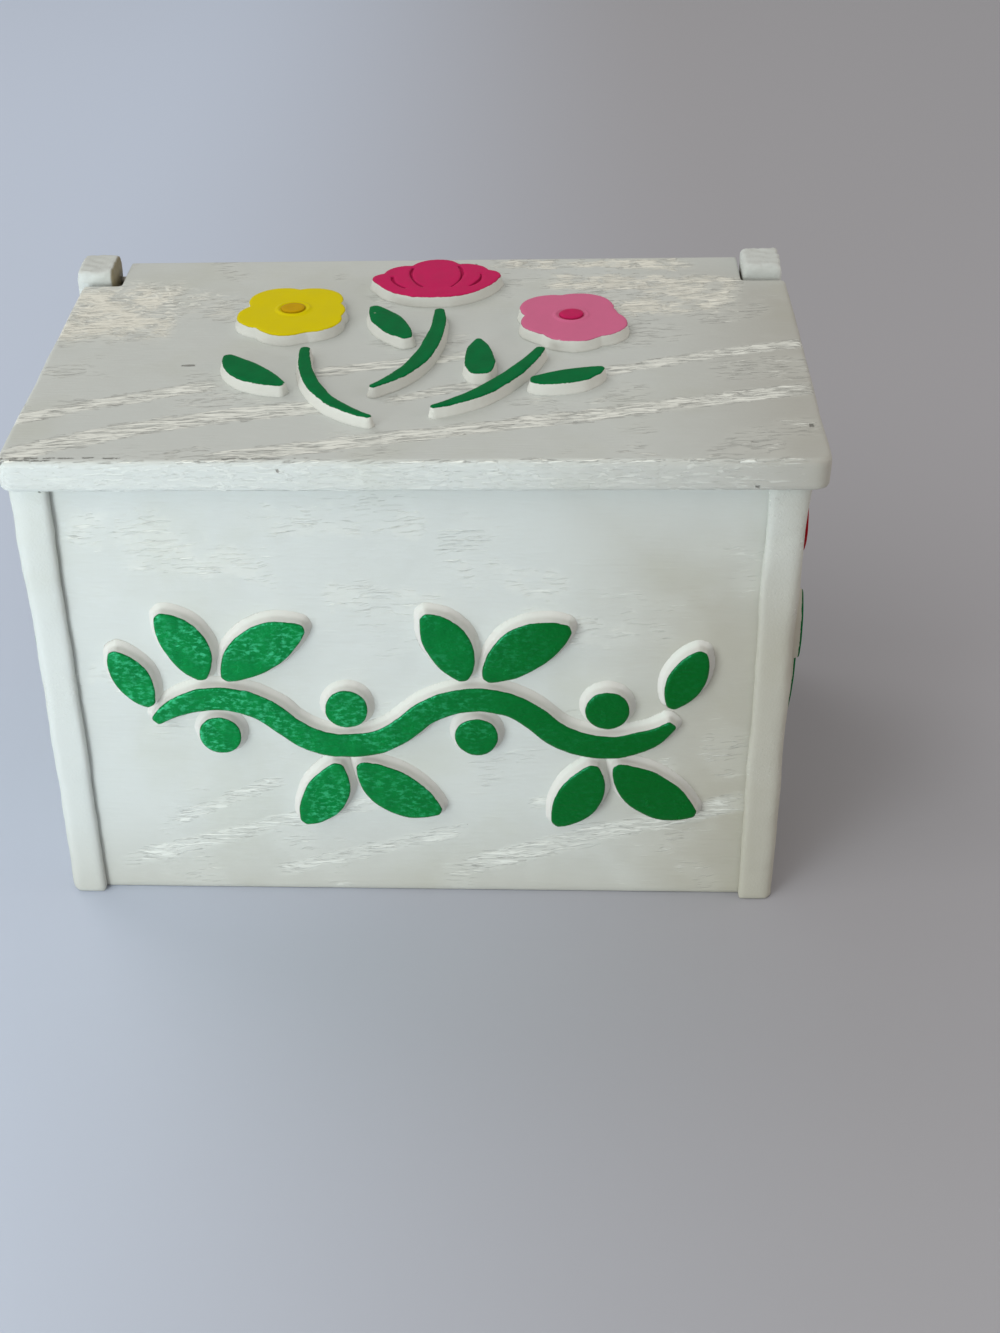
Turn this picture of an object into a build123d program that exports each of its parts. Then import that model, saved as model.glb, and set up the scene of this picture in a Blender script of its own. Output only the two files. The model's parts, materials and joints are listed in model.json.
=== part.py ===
"""Recipe card box: a moulded, painted box for index cards, with a lid that turns on two pins.

X runs across the box and Y from front to back, with the box centred on both. Z is up from
the table. Every piece is built in the place that it has in the closed box, in millimetres.
"""

import os
from math import atan2, cos, degrees, radians, sin, sqrt, tan

from build123d import *

# --- Body: two side boards with posts, and three panels let into them ---
body_width = 148.0  # over the flat faces of the side boards
body_depth = 97.0  # from the front of the posts to the back
body_height = 97.0
wall_thickness = 3.2  # of a side board, between its posts
post_width = 7.3  # seen from the front
front_post_depth = 9.0
rear_post_depth = 12.6
post_outer_radius = 2.2  # the rounded front edges of the posts
post_inner_radius = 1.4
rear_edge_radius = 1.2
panel_thickness = 3.0
front_panel_setback = 2.0
back_panel_setback = 0.5
groove_depth = 2.0  # how far a panel goes into a post
rebate_depth = 1.2  # how far the bottom panel goes under the walls
bottom_thickness = 3.0
joint_clearance = 0.05  # between cemented pieces

# --- Lid: a plate with a pocket below and a notch round each ear ---
lid_side_overhang = 2.6
lid_front_overhang = 2.6
lid_rear_setback = 0.1
lid_thickness = 6.4
lid_seat_gap = 0.15
lid_side_shift = 1.1  # the lid sits this far to the right, in its play between the ears
lid_corner_radius = 3.0
lid_top_radius = 1.0
lid_lower_radius = 0.7
lid_rear_top_radius = 0.6
lid_skin = 3.0  # the plate over the pocket
lid_rim = 7.0
pocket_corner_radius = 3.0
lid_open_angle = 105.0  # where the lid's rear edge meets the back panel

# --- Ears and hinge pins ---
ear_width = 8.3
ear_step = 2.9  # how far an ear stands out from the side board
ear_depth = 12.4
ear_rise = 9.2  # above the walls
ear_foot_drop = 14.0  # from the wall's top down to the foot of the ear
ear_flare = 5.0  # height of the slope at the ear's foot
ear_front_radius = 0.8
ear_rear_radius = 2.5
ear_side_radius = 0.5
ear_inner_radius = 0.8
ear_front_gap = 1.5
ear_side_gap = 1.1  # on each side when the notches are centred
notch_side_shift = 0.6  # the notches sit this far to the right
pin_radius = 1.0
pin_in_ear = 5.3
pin_past_ear = 8.5
pin_end_gap = 0.3
pin_seat_clearance = 0.01
pin_running_clearance = 0.05

# --- Raised ornament ---
front_relief_height = 2.7
lid_relief_height = 2.3
side_relief_height = 3.0
relief_draft = 9.0  # degrees that the sides of a raised form lean
relief_corner_radius = 0.5
end_round_share = 0.45  # of a leaf's or stem's width at its end
petal_radius = 6.8
flower_core_radius = 9.3
eye_radius = 2.5
eye_height = 0.6
leaf_end_width = 1.4
bloom_cup_radius = 13.9
bloom_cup_top = -2.8  # the cup is cut off here, below its middle
bloom_lobes = [(0.0, 2.0, 5.6), (6.2, -0.7, 5.2), (10.7, -2.6, 3.1)]  # across, up, radius
bloom_cuts = [((4.9, 3.4), (2.6, -8.6), 1.6), ((9.5, -1.4), (6.3, -8.6), 1.1)]  # top, foot, bow
bloom_groove_width = 0.7
bloom_groove_depth = 0.7

# --- Places that follow from the sizes above ---
half_body = body_width / 2
half_depth = (lid_front_overhang + body_depth) / 2
post_front = lid_front_overhang - half_depth
back = half_depth
post_inner = half_body - post_width
wall_inner = half_body - wall_thickness
front_post_back = post_front + front_post_depth
rear_post_front = back - rear_post_depth

panel_face = post_front + front_panel_setback
panel_back = panel_face + panel_thickness
back_panel_outside = back - back_panel_setback
back_panel_inside = back_panel_outside - panel_thickness

half_lid = half_body + lid_side_overhang
lid_front = post_front - lid_front_overhang
lid_rear = back - lid_rear_setback
lid_bottom = body_height + lid_seat_gap
lid_top = lid_bottom + lid_thickness

ear_outer = half_body + ear_step
ear_inner = ear_outer - ear_width
ear_front = back - ear_depth
ear_top = body_height + ear_rise
notch_front = ear_front - ear_front_gap
half_lid_rear = ear_inner - ear_side_gap

pivot_y = lid_rear - lid_thickness / 2
pivot_z = lid_bottom + lid_thickness / 2
# The lid's rear top edge swings down to this depth below the pivot.
corner_reach = sqrt(2) * (lid_thickness / 2 - lid_rear_top_radius)
stop_drop = corner_reach * sin(radians(lid_open_angle - 45)) + lid_rear_top_radius
stop_height = pivot_z - stop_drop


def block(x_range, y_range, z_range):
    """A square-edged block between two values on each axis."""
    low, high = zip(x_range, y_range, z_range)
    size = [b - a for a, b in zip(low, high)]
    middle = [(a + b) / 2 for a, b in zip(low, high)]
    return Pos(*middle) * Box(*size)


def rod_along_x(radius, x_start, x_end):
    """A round bar on the hinge axis."""
    length = abs(x_end - x_start)
    place = Pos((x_start + x_end) / 2, pivot_y, pivot_z)
    return place * Rot(0, 90, 0) * Cylinder(radius, length)


def edges_at(shape, x=None, y=None, z=None, near=0.01):
    """The straight or curved edges whose centre lies at the given coordinates."""
    chosen = []
    for edge in shape.edges():
        centre = edge.center(CenterOf.BOUNDING_BOX)
        offsets = [(x, centre.X), (y, centre.Y), (z, centre.Z)]
        if all(want is None or abs(want - have) < near for want, have in offsets):
            chosen.append(edge)
    return chosen


# --- Body pieces ---


def front_post():
    post = block((post_inner, half_body), (post_front, front_post_back), (0, body_height))
    post = fillet(edges_at(post, x=half_body, y=post_front), post_outer_radius)
    return fillet(edges_at(post, x=post_inner, y=post_front), post_inner_radius)


def rear_post():
    post = block((post_inner, half_body), (rear_post_front, back), (0, body_height))
    return fillet(edges_at(post, x=half_body, y=back), rear_edge_radius)


def ear():
    """The block that rises from the rear post, with a sloped foot outside the board."""
    foot = body_height - ear_foot_drop
    outline = Polyline(
        (ear_inner, foot),
        (half_body, foot),
        (ear_outer, foot + ear_flare),
        (ear_outer, ear_top),
        (ear_inner, ear_top),
        close=True,
    )
    solid = Pos(0, back, 0) * extrude(Plane.XZ * make_face(outline), ear_depth)
    solid = fillet(edges_at(solid, x=ear_inner, y=ear_front), ear_inner_radius)
    solid = fillet(edges_at(solid, y=ear_front, z=ear_top), ear_front_radius)
    solid = fillet(edges_at(solid, y=back, z=ear_top), ear_rear_radius)
    outer = [edge for edge in solid.edges() if edge.center().X > ear_outer - 0.01]
    upright_or_top = [edge for edge in outer if edge.center().Z > foot + ear_flare + 0.01]
    return fillet(upright_or_top, ear_side_radius)


def panel_groove(face, inside):
    """The slot in a post that holds the edge of the front or back panel."""
    return block(
        (post_inner - joint_clearance, post_inner + groove_depth),
        (face - joint_clearance, inside + joint_clearance),
        (-1, body_height + 1),
    )


def right_side_board():
    wall = block(
        (wall_inner, half_body),
        (front_post_back - 1, rear_post_front + 1),
        (0, body_height),
    )
    board = wall + front_post() + rear_post() + ear()
    board -= panel_groove(panel_face, panel_back)
    board -= panel_groove(back_panel_inside, back_panel_outside)
    board -= block(
        (wall_inner - 1, wall_inner + rebate_depth),
        (front_post_back, rear_post_front),
        (-1, bottom_thickness + joint_clearance),
    )
    # Room for the lid's rear edge, which swings down between the ears.
    board -= block(
        (post_inner - 1, ear_inner),
        (pivot_y - lid_thickness / 2, back + 1),
        (stop_height, body_height + 1),
    )
    bore_end = ear_inner + pin_in_ear + pin_end_gap
    board -= rod_along_x(pin_radius + pin_seat_clearance, ear_inner - 1, bore_end)
    return board


def upright_panel(y_range, height):
    half = post_inner + groove_depth - joint_clearance
    return block((-half, half), y_range, (0, height))


def front_panel():
    panel = upright_panel((panel_face, panel_back), body_height)
    rebate = block(
        (-body_width, body_width),
        (panel_back - rebate_depth, panel_back + 1),
        (-1, bottom_thickness + joint_clearance),
    )
    return panel - rebate


def back_panel():
    panel = upright_panel((back_panel_inside, back_panel_outside), stop_height)
    rebate = block(
        (-body_width, body_width),
        (back_panel_inside - 1, back_panel_inside + rebate_depth),
        (-1, bottom_thickness + joint_clearance),
    )
    return panel - rebate


def bottom_panel():
    """A plate let into the rebates, notched round the four posts."""
    reach = rebate_depth - joint_clearance
    half_wide = wall_inner + reach
    half_narrow = post_inner - joint_clearance
    between_posts = block(
        (-half_wide, half_wide),
        (front_post_back + joint_clearance, rear_post_front - joint_clearance),
        (0, bottom_thickness),
    )
    between_panels = block(
        (-half_narrow, half_narrow),
        (panel_back - reach, back_panel_inside + reach),
        (0, bottom_thickness),
    )
    return between_posts + between_panels


def hinge_pin(side):
    """A steel pin, fixed in its ear; the lid turns on the end that stands out."""
    inner_end, outer_end = ear_inner - pin_past_ear, ear_inner + pin_in_ear
    return rod_along_x(pin_radius, side * inner_end, side * outer_end)


# --- Lid ---


def lid_plate():
    """The lid before its pocket: rounded in front, with a notch at each rear corner."""
    low = (lid_side_shift - half_lid, lid_side_shift + half_lid)
    plate = block(low, (lid_front, lid_rear), (lid_bottom, lid_top))
    corners = [edge for edge in plate.edges().filter_by(Axis.Z) if edge.center().Y < 0]
    plate = fillet(corners, lid_corner_radius)
    for side in (-1, 1):
        inner = notch_side_shift + side * half_lid_rear
        outer = lid_side_shift + side * (half_lid + 1)
        notch_x = (min(inner, outer), max(inner, outer))
        plate -= block(notch_x, (notch_front, lid_rear + 1), (lid_bottom - 1, lid_top + 1))
    return plate


def round_lid_edges(plate):
    # Half the thickness, so that the rear lower edge turns clear of the back panel.
    lower_radius = lid_thickness / 2 - 0.01
    plate = fillet(edges_at(plate, y=lid_rear, z=lid_bottom), lower_radius)
    plate = fillet(edges_at(plate, y=lid_rear, z=lid_top), lid_rear_top_radius)
    for height, radius in ((lid_top, lid_top_radius), (lid_bottom, lid_lower_radius)):
        rim = []
        for edge in edges_at(plate, z=height):
            centre = edge.center(CenterOf.BOUNDING_BOX)
            on_side = abs(centre.X - lid_side_shift) > half_lid - lid_corner_radius
            if on_side or centre.Y < lid_front + lid_corner_radius:
                rim.append(edge)
        plate = fillet(rim, radius)
    return plate


def lid():
    plate = round_lid_edges(lid_plate())
    pocket_half = half_lid - lid_rim
    pocket = block(
        (lid_side_shift - pocket_half, lid_side_shift + pocket_half),
        (lid_front + lid_rim, notch_front - lid_rim),
        (lid_bottom - 1, lid_top - lid_skin),
    )
    pocket = fillet(pocket.edges().filter_by(Axis.Z), pocket_corner_radius)
    plate -= pocket
    bore_start = ear_inner - pin_past_ear - pin_end_gap
    for side in (-1, 1):
        plate -= rod_along_x(
            pin_radius + pin_running_clearance, side * bore_start, side * (half_lid + 1)
        )
    return plate


# --- Raised ornament: each form is drawn by its top, and its sides lean out to the panel ---


def relief(panel, outline, height):
    """The raised form whose top is the outline, standing on the panel's plane."""
    solids = []
    for face in outline.faces():
        top = Pos(0, 0, height) * face
        solids += extrude(top, -height, taper=-relief_draft).solids()
    return panel * Compound(children=solids)


def blade(root, tip, root_width, tip_width, left_bulge, right_bulge, belly=0.5):
    """A leaf or stem between two bowed sides.

    A bulge is how far a side bows to the left of the line from root to tip. The belly is the
    share of that line at which both sides stand furthest out.
    """
    start, end = Vector(*root), Vector(*tip)
    chord = end - start
    along = chord.normalized()
    left = Vector(-chord.Y, chord.X).normalized()
    widest = start + chord * belly
    # The ends are cut square to the middle line, which is made of two arcs too.
    middle_bulge = (left_bulge + right_bulge) / 2
    start_turn = degrees(2 * atan2(middle_bulge, belly * chord.length))
    end_turn = degrees(2 * atan2(middle_bulge, (1 - belly) * chord.length))
    start_half = left.rotate(Axis.Z, start_turn) * root_width / 2
    end_half = left.rotate(Axis.Z, -end_turn) * tip_width / 2
    outline = [
        Line(start - start_half, start + start_half),
        Line(end + end_half, end - end_half),
    ]
    for half_side, bulge in ((1, left_bulge), (-1, right_bulge)):
        apex = widest + left * bulge
        outline.append(TangentArc(apex, start + start_half * half_side, tangent=along * -1))
        outline.append(TangentArc(apex, end + end_half * half_side, tangent=along))
    return make_face(outline)


def soft_blade(root, tip, root_width, tip_width, *bows):
    """A blade with the corners at each end rounded by a share of that end's width."""
    face = blade(root, tip, root_width, tip_width, *bows)
    for end, width in ((root, root_width), (tip, tip_width)):
        corners = [v for v in face.vertices() if (Vector(v) - Vector(*end)).length < width]
        face = fillet(corners, end_round_share * width)
    return face


def leaf(root, heading, length, width, curl=0.0):
    """An almond leaf. The heading is in degrees, and a curl bows its middle line left."""
    tip = (root[0] + length * cos(radians(heading)), root[1] + length * sin(radians(heading)))
    half_width = width / 2
    return soft_blade(root, tip, leaf_end_width, leaf_end_width, curl + half_width, curl - half_width)


def mound(centre, radius, height):
    """A round form with a flat top, whose side leans out to the panel."""
    foot_radius = radius + height * tan(radians(relief_draft))
    return Pos(*centre, height / 2) * Cone(foot_radius, radius, height)


def flower(panel, centre, petals, height):
    """Round petals about a round core. A petal gives its direction in degrees and its reach."""
    solid = mound((0, 0), flower_core_radius, height)
    for direction, reach in petals:
        place = (reach * cos(radians(direction)), reach * sin(radians(direction)))
        solid += mound(place, petal_radius, height)
    return panel * Pos(*centre) * solid


def raised_eye(panel, centre, height):
    """A small round boss on top of a flower."""
    return panel * Pos(*centre, height + eye_height / 2) * Cylinder(eye_radius, eye_height)


def bloom(scale, height):
    """A flower seen from the side: a half-round cup under a scalloped row of petals."""
    cup = mound((0, 0), bloom_cup_radius * scale, height)
    reach = 2 * bloom_cup_radius * scale
    solid = cup - block((-reach, reach), (bloom_cup_top * scale, reach), (-1, height + 1))
    for across, up, radius in bloom_lobes:
        for side in (-1, 1):
            solid += mound((side * across * scale, up * scale), radius * scale, height)
    return solid


def bloom_grooves(scale, height):
    """Shallow cuts between the petals, running down to the middle of the cup."""
    half_width = bloom_groove_width / 2
    floor = Pos(0, 0, height - bloom_groove_depth)
    solids = []
    for side in (-1, 1):
        for top, foot, bow in bloom_cuts:
            start = (side * top[0] * scale, top[1] * scale)
            end = (side * foot[0] * scale, foot[1] * scale)
            bulge = side * bow * scale
            cut = blade(
                start, end, bloom_groove_width, half_width, bulge + half_width, bulge - half_width
            )
            solids.append(extrude(floor * cut, bloom_groove_depth + 1))
    return Compound(children=solids)


def cut_bloom(panel, centre, height, scale=1.0, turn=0.0):
    solid = bloom(scale, height) - bloom_grooves(scale, height)
    return panel * Pos(*centre) * Rot(0, 0, turn) * solid


def pieces(faces):
    return Sketch(children=[face for sketch in faces for face in sketch.faces()])


# A row of a stem or leaf gives its root, tip, root width, tip width, left and right bulge, and
# its belly where that isn't the middle.
# The lid's spray is drawn on the lid's top, about the middle of the box.
spray_shift = 0.5  # of the whole spray towards the back
lid_plane = Plane(origin=(0, spray_shift, lid_top), x_dir=(1, 0, 0), z_dir=(0, 0, 1))
yellow_centre = (-27.1, 14.6)
yellow_eye_centre = (-26.5, 15.9)
yellow_petals = [(-155, 4.4), (-88, 5.4), (-42, 5.7), (6, 4.7), (57, 7.0), (112, 6.6)]
pink_centre = (31.8, 10.6)
pink_eye_centre = (31.4, 11.4)
pink_petals = [(-150, 4.3), (-91, 5.6), (-36, 5.1), (76, 5.9), (130, 6.4)]
bloom_rear_gap = 14.1  # from its middle to the lid's rear edge
bloom_centre = (2.6, lid_rear - bloom_rear_gap)
bloom_turn = 4.0
lid_stem_blades = [
    ((-22.0, -3.6), (-6.6, -35.9), 1.8, 1.2, -3.5, -6.3, 0.58),
    ((4.1, 15.6), (-7.5, -22.6), 1.8, 1.2, 6.3, 2.9, 0.6),
    ((25.4, -4.3), (4.6, -31.8), 1.7, 1.2, 5.2, 1.7, 0.6),
]
lid_leaf_blades = [
    ((-37.4, -7.2), (-24.6, -21.4), 1.2, 1.6, 1.8, -4.9),
    ((-9.8, 17.2), (-1.6, 0.6), 1.4, 2.0, 2.9, -3.3),
    ((23.2, -19.8), (37.2, -14.2), 2.6, 1.0, 1.7, -4.6),
]
lid_bud_blades = [((13.5, -16.8), (12.7, 0.0), 3.3, 0.8, 2.9, -2.9, 0.36)]

# The spray on a side board is drawn about the middle of the board's length, down from its top.
# The front of the box is to the left on the right-hand board.
side_flower_radius = 11.4
side_flower_gap = 1.4  # from a flower's top to the ear
side_petal_count = 5
side_petal_turn = 360 / side_petal_count
side_first_petal = -90.0  # straight down
side_flower_drop = 14.4
side_flower_reach = ear_front - side_flower_gap - side_flower_radius
side_flower_centres = [(side * side_flower_reach, -side_flower_drop) for side in (-1, 1)]
side_petals = [
    (side_first_petal + step * side_petal_turn, side_flower_radius - petal_radius)
    for step in range(side_petal_count)
]
side_bloom_centre = (0.0, -11.0)
side_bloom_scale = 0.7
side_stem_blades = [
    ((-24.6, -29.5), (-7.5, -76.0), 1.9, 0.8, -9.8, -13.8),
    ((0.0, -25.5), (-0.8, -79.5), 1.9, 0.8, 2.6, -0.8),
    ((24.6, -29.5), (7.5, -73.5), 1.9, 0.8, 13.4, 9.4),
]
side_leaf_blades = [
    ((-34.4, -44.5), (-32.4, -30.5), 1.4, 1.0, 2.6, -0.6),
    ((-4.8, -63.0), (-18.4, -48.0), 1.4, 1.0, 3.4, -2.6),
    ((4.6, -64.0), (18.4, -50.0), 1.4, 1.0, 2.6, -3.4),
    ((34.2, -46.0), (32.6, -32.5), 1.4, 1.0, 0.6, -2.6),
]

# The vine on the front panel: a wave of bows, with leaves outside and a bud inside each.
vine_rise = -4.0  # of the wave's middle line, from the middle of the panel
vine_bow_length = 25.8
vine_end_gap = 14.0  # at least, between the wave's end and the post
vine_width = 5.2
vine_end_width = 2.0
vine_bulge = 5.6
bud_radius = 4.2
ornament_gap = 2.0  # between the tops of neighbouring forms
# A row of a leaf gives its shift along the vine, its heading, length, width and curl.
vine_leaf_rows = [(2.0, 36, 20.0, 9.6, 1.4), (-2.4, 118, 16.5, 8.6, -1.2)]
end_leaf_rows = [(-0.4, 118, 14.0, 7.0, 0.0), (-0.6, 66, 14.0, 7.0, 0.0)]

vine_bow_count = int(2 * (post_inner - vine_end_gap) // vine_bow_length)
vine_height = body_height / 2 + vine_rise


def soft_blades(rows):
    return pieces([soft_blade(*row) for row in rows])


def vine_bows():
    """Each bow of the vine as its middle and the way that it rises: 1 up, -1 down."""
    start = -vine_bow_length * (vine_bow_count - 1) / 2
    return [(start + k * vine_bow_length, 1 - 2 * (k % 2)) for k in range(vine_bow_count)]


def vine_stem():
    """One wave, as wide as the vine between its bows and narrow at both ends."""
    widths = [vine_end_width] + [vine_width] * (vine_bow_count - 1) + [vine_end_width]
    half_length, half_width = vine_bow_length / 2, vine_width / 2
    wave = None
    for (middle, rise), root_width, tip_width in zip(vine_bows(), widths, widths[1:]):
        root, tip = (middle - half_length, vine_height), (middle + half_length, vine_height)
        bulge = rise * vine_bulge
        bow = blade(root, tip, root_width, tip_width, bulge + half_width, bulge - half_width)
        wave = bow if wave is None else wave + bow
    reach = vine_bow_length * vine_bow_count / 2 - vine_end_width
    ends = [corner for corner in wave.vertices() if abs(corner.X) > reach]
    return fillet(ends, relief_corner_radius)


def vine_leaves():
    leaves = []
    reach = vine_bulge + vine_width / 2 + ornament_gap
    for middle, rise in vine_bows():
        for shift, heading, length, width, curl in vine_leaf_rows:
            root = (middle + shift, vine_height + rise * reach)
            leaves.append(leaf(root, rise * heading, length, width, rise * curl))
    half_length = vine_bow_length * vine_bow_count / 2
    lift = vine_end_width + ornament_gap
    for end, (shift, heading, length, width, curl) in zip((-half_length, half_length), end_leaf_rows):
        leaves.append(leaf((end + shift, vine_height + lift), heading, length, width, curl))
    return leaves


def vine_buds():
    depth = vine_bulge - vine_width / 2 - ornament_gap - bud_radius
    bud = Circle(bud_radius)
    return [Pos(middle, vine_height + rise * depth) * bud for middle, rise in vine_bows()]


def side_plane(side):
    """The top of a side board's face, with its own X towards the back on the right-hand board."""
    top = (side * half_body, 0, body_height)
    return Plane(origin=top, x_dir=(0, side, 0), z_dir=(side, 0, 0))


front_plane = Plane(origin=(0, panel_face, 0), x_dir=(1, 0, 0), z_dir=(0, -1, 0))


def lid_ornament():
    height = lid_relief_height
    return {
        "lid_yellow_flower": flower(lid_plane, yellow_centre, yellow_petals, height),
        "lid_yellow_flower_eye": raised_eye(lid_plane, yellow_eye_centre, height),
        "lid_pink_flower": flower(lid_plane, pink_centre, pink_petals, height),
        "lid_pink_flower_eye": raised_eye(lid_plane, pink_eye_centre, height),
        "lid_magenta_bloom": cut_bloom(lid_plane, bloom_centre, height, turn=bloom_turn),
        "lid_stems": relief(lid_plane, soft_blades(lid_stem_blades), height),
        "lid_leaves": relief(lid_plane, soft_blades(lid_leaf_blades), height),
        "lid_bud": relief(lid_plane, soft_blades(lid_bud_blades), height),
    }


def side_ornament(name, side):
    panel = side_plane(side)
    height = side_relief_height
    flower_height = height - eye_height
    nodes = {}
    for place, centre in zip(("left", "right"), side_flower_centres):
        nodes[f"{name}_{place}_flower"] = flower(panel, centre, side_petals, flower_height)
        nodes[f"{name}_{place}_flower_eye"] = raised_eye(panel, centre, flower_height)
    nodes[f"{name}_bloom"] = cut_bloom(panel, side_bloom_centre, height, side_bloom_scale)
    nodes[f"{name}_stems"] = relief(panel, soft_blades(side_stem_blades), height)
    nodes[f"{name}_leaves"] = relief(panel, soft_blades(side_leaf_blades), height)
    return nodes


def front_ornament():
    return {
        "front_vine_stem": relief(front_plane, vine_stem(), front_relief_height),
        "front_vine_leaves": relief(front_plane, pieces(vine_leaves()), front_relief_height),
        "front_vine_buds": relief(front_plane, pieces(vine_buds()), front_relief_height),
    }


def all_nodes():
    board = right_side_board()
    nodes = {
        "right_side_board": board,
        "left_side_board": mirror(board, Plane.YZ),
        "front_panel": front_panel(),
        "back_panel": back_panel(),
        "bottom_panel": bottom_panel(),
        "hinge_pin_left": hinge_pin(-1),
        "hinge_pin_right": hinge_pin(1),
        "lid": lid(),
    }
    nodes.update(lid_ornament())
    nodes.update(front_ornament())
    nodes.update(side_ornament("right_side", 1))
    nodes.update(side_ornament("left_side", -1))
    return nodes


os.makedirs("parts", exist_ok=True)
for node, shape in all_nodes().items():
    export_step(shape, f"parts/{node}.step")
    print(f"{node}: {len(shape.solids())} solid(s), {shape.volume:.1f} mm3")
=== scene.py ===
# %% [markdown]
# # A painted recipe card box
# The box is moulded in brown plastic with a wood grain, sprayed white once its lid is on, and
# its raised flowers are then painted by hand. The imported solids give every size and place, so
# this file adds only what the solids lack: soft worn edges, carved forms, grain and paint.

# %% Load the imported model
import json
import math

import bpy
import numpy as np
from mathutils import Matrix, Vector
from mathutils.kdtree import KDTree

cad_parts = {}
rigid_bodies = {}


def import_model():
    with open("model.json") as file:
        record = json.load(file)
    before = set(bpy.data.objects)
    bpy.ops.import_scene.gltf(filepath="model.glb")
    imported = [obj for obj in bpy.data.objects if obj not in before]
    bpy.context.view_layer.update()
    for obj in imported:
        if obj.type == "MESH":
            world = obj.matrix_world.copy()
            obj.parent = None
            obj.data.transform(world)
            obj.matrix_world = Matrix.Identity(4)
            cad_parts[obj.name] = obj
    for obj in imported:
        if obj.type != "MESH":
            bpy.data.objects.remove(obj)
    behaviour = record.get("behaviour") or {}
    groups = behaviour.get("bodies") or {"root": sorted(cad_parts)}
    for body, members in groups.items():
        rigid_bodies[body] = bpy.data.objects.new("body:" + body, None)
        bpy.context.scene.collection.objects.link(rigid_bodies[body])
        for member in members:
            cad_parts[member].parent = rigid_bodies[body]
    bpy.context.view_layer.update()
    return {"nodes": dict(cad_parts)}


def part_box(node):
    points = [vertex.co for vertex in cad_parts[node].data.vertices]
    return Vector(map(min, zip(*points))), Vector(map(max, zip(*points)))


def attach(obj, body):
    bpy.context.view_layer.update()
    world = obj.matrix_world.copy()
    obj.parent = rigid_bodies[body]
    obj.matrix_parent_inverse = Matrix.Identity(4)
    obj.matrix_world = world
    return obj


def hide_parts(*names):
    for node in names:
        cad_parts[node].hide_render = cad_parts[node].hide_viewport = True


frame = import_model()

mm = 0.001

# %% [markdown]
# ## The camera
# A camera can be aimed at a target, or placed by angles: how far it is turned, how far it looks
# down, and how far it is tipped. Angles are used here, because each of them can be corrected
# alone. A fixed sensor height keeps the frame the same whatever the picture's width is.

# %% Camera
camera_place = Vector((25.0, -372.4, 266.1)) * mm
camera_pitch, camera_yaw, camera_roll = (math.radians(a) for a in (33.71, 4.77, 2.35))
picture_height = 1333  # pixels
focal_pixels = 1981.0
centre_offset = Vector((99.4, 39.6))  # pixels from the optical axis to the picture's middle
full_frame_height = 36.0  # of the sensor, in millimetres
nearest_seen = 0.01  # metres

turn = Matrix.Rotation(camera_yaw, 3, "Z")
forward = turn @ Vector((0, math.cos(camera_pitch), -math.sin(camera_pitch)))
level_right = turn @ Vector((1, 0, 0))
level_up = level_right.cross(forward)
camera_right = math.cos(camera_roll) * level_right - math.sin(camera_roll) * level_up
camera_up = math.sin(camera_roll) * level_right + math.cos(camera_roll) * level_up

camera_data = bpy.data.cameras.new("camera")
camera_data.sensor_fit = "VERTICAL"
camera_data.sensor_height = full_frame_height
camera_data.lens = focal_pixels * full_frame_height / picture_height
camera_data.shift_x = centre_offset.x / picture_height
camera_data.shift_y = centre_offset.y / picture_height
camera_data.clip_start = nearest_seen
camera = bpy.data.objects.new("camera", camera_data)
bpy.context.scene.collection.objects.link(camera)
turned = Matrix((camera_right, camera_up, -forward)).transposed()
camera.matrix_world = Matrix.Translation(camera_place) @ turned.to_4x4()
bpy.context.scene.camera = camera
bpy.context.scene.view_settings.view_transform = "Standard"
print("lens:", round(camera_data.lens, 1), "mm")

# %% [markdown]
# ## Sizes from the solids
# The pieces of a real box fit one another, and so must their looks. The places could be typed
# in, but they would then stay behind when the model changes. So they are measured on the
# solids' own boxes, in millimetres.


# %% Places read from the frame
def box_mm(node):
    """The lowest and the highest corner of a solid."""
    low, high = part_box(node)
    return low / mm, high / mm


lid_low, lid_high = box_mm("lid")
panel_low, panel_high = box_mm("front_panel")
back_panel_front = box_mm("back_panel")[0].y
side_face = box_mm("right_side_bloom")[0].x
pin_low, pin_high = box_mm("hinge_pin_right")
body_top = panel_high.z
pivot = Vector((0, (pin_low.y + pin_high.y) / 2, (pin_low.z + pin_high.z) / 2))
print("lid:", [round(v, 1) for v in (*lid_low, *lid_high)], "pivot:", [round(v, 2) for v in pivot])

# %% [markdown]
# ## Helpers for nodes
# A finish is a graph of nodes. It could be drawn by hand in the Shader Editor, but a script can
# be read and changed line by line. `fill` gives a socket its value: another node's output is
# linked to it, and anything else is set on the socket itself. `add` makes a node and fills its
# sockets by name, `calc` does arithmetic on numbers, and `vector_calc` and `dot` on vectors.


# %% Making and joining nodes
def fill(tree, socket, value):
    if isinstance(value, bpy.types.NodeSocket):
        tree.links.new(value, socket)
    else:
        socket.default_value = value


def add(tree, kind, settings=None, **sockets):
    made = tree.nodes.new(kind)
    for name, value in (settings or {}).items():
        setattr(made, name, value)
    for name, value in sockets.items():
        fill(tree, made.inputs[name.replace("_", " ")], value)
    return made


def calc(tree, operation, *values):
    made = add(tree, "ShaderNodeMath", {"operation": operation})
    for socket, value in zip(made.inputs, values):
        fill(tree, socket, value)
    return made.outputs[0]


def vector_calc(tree, operation, *values, output=0):
    made = add(tree, "ShaderNodeVectorMath", {"operation": operation})
    for socket, value in zip(made.inputs, values):
        fill(tree, socket, value)
    return made.outputs[output]


def dot(tree, first, second):
    return vector_calc(tree, "DOT_PRODUCT", first, second, output=1)


print("helpers:", [helper.__name__ for helper in (fill, add, calc, vector_calc, dot)])

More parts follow.
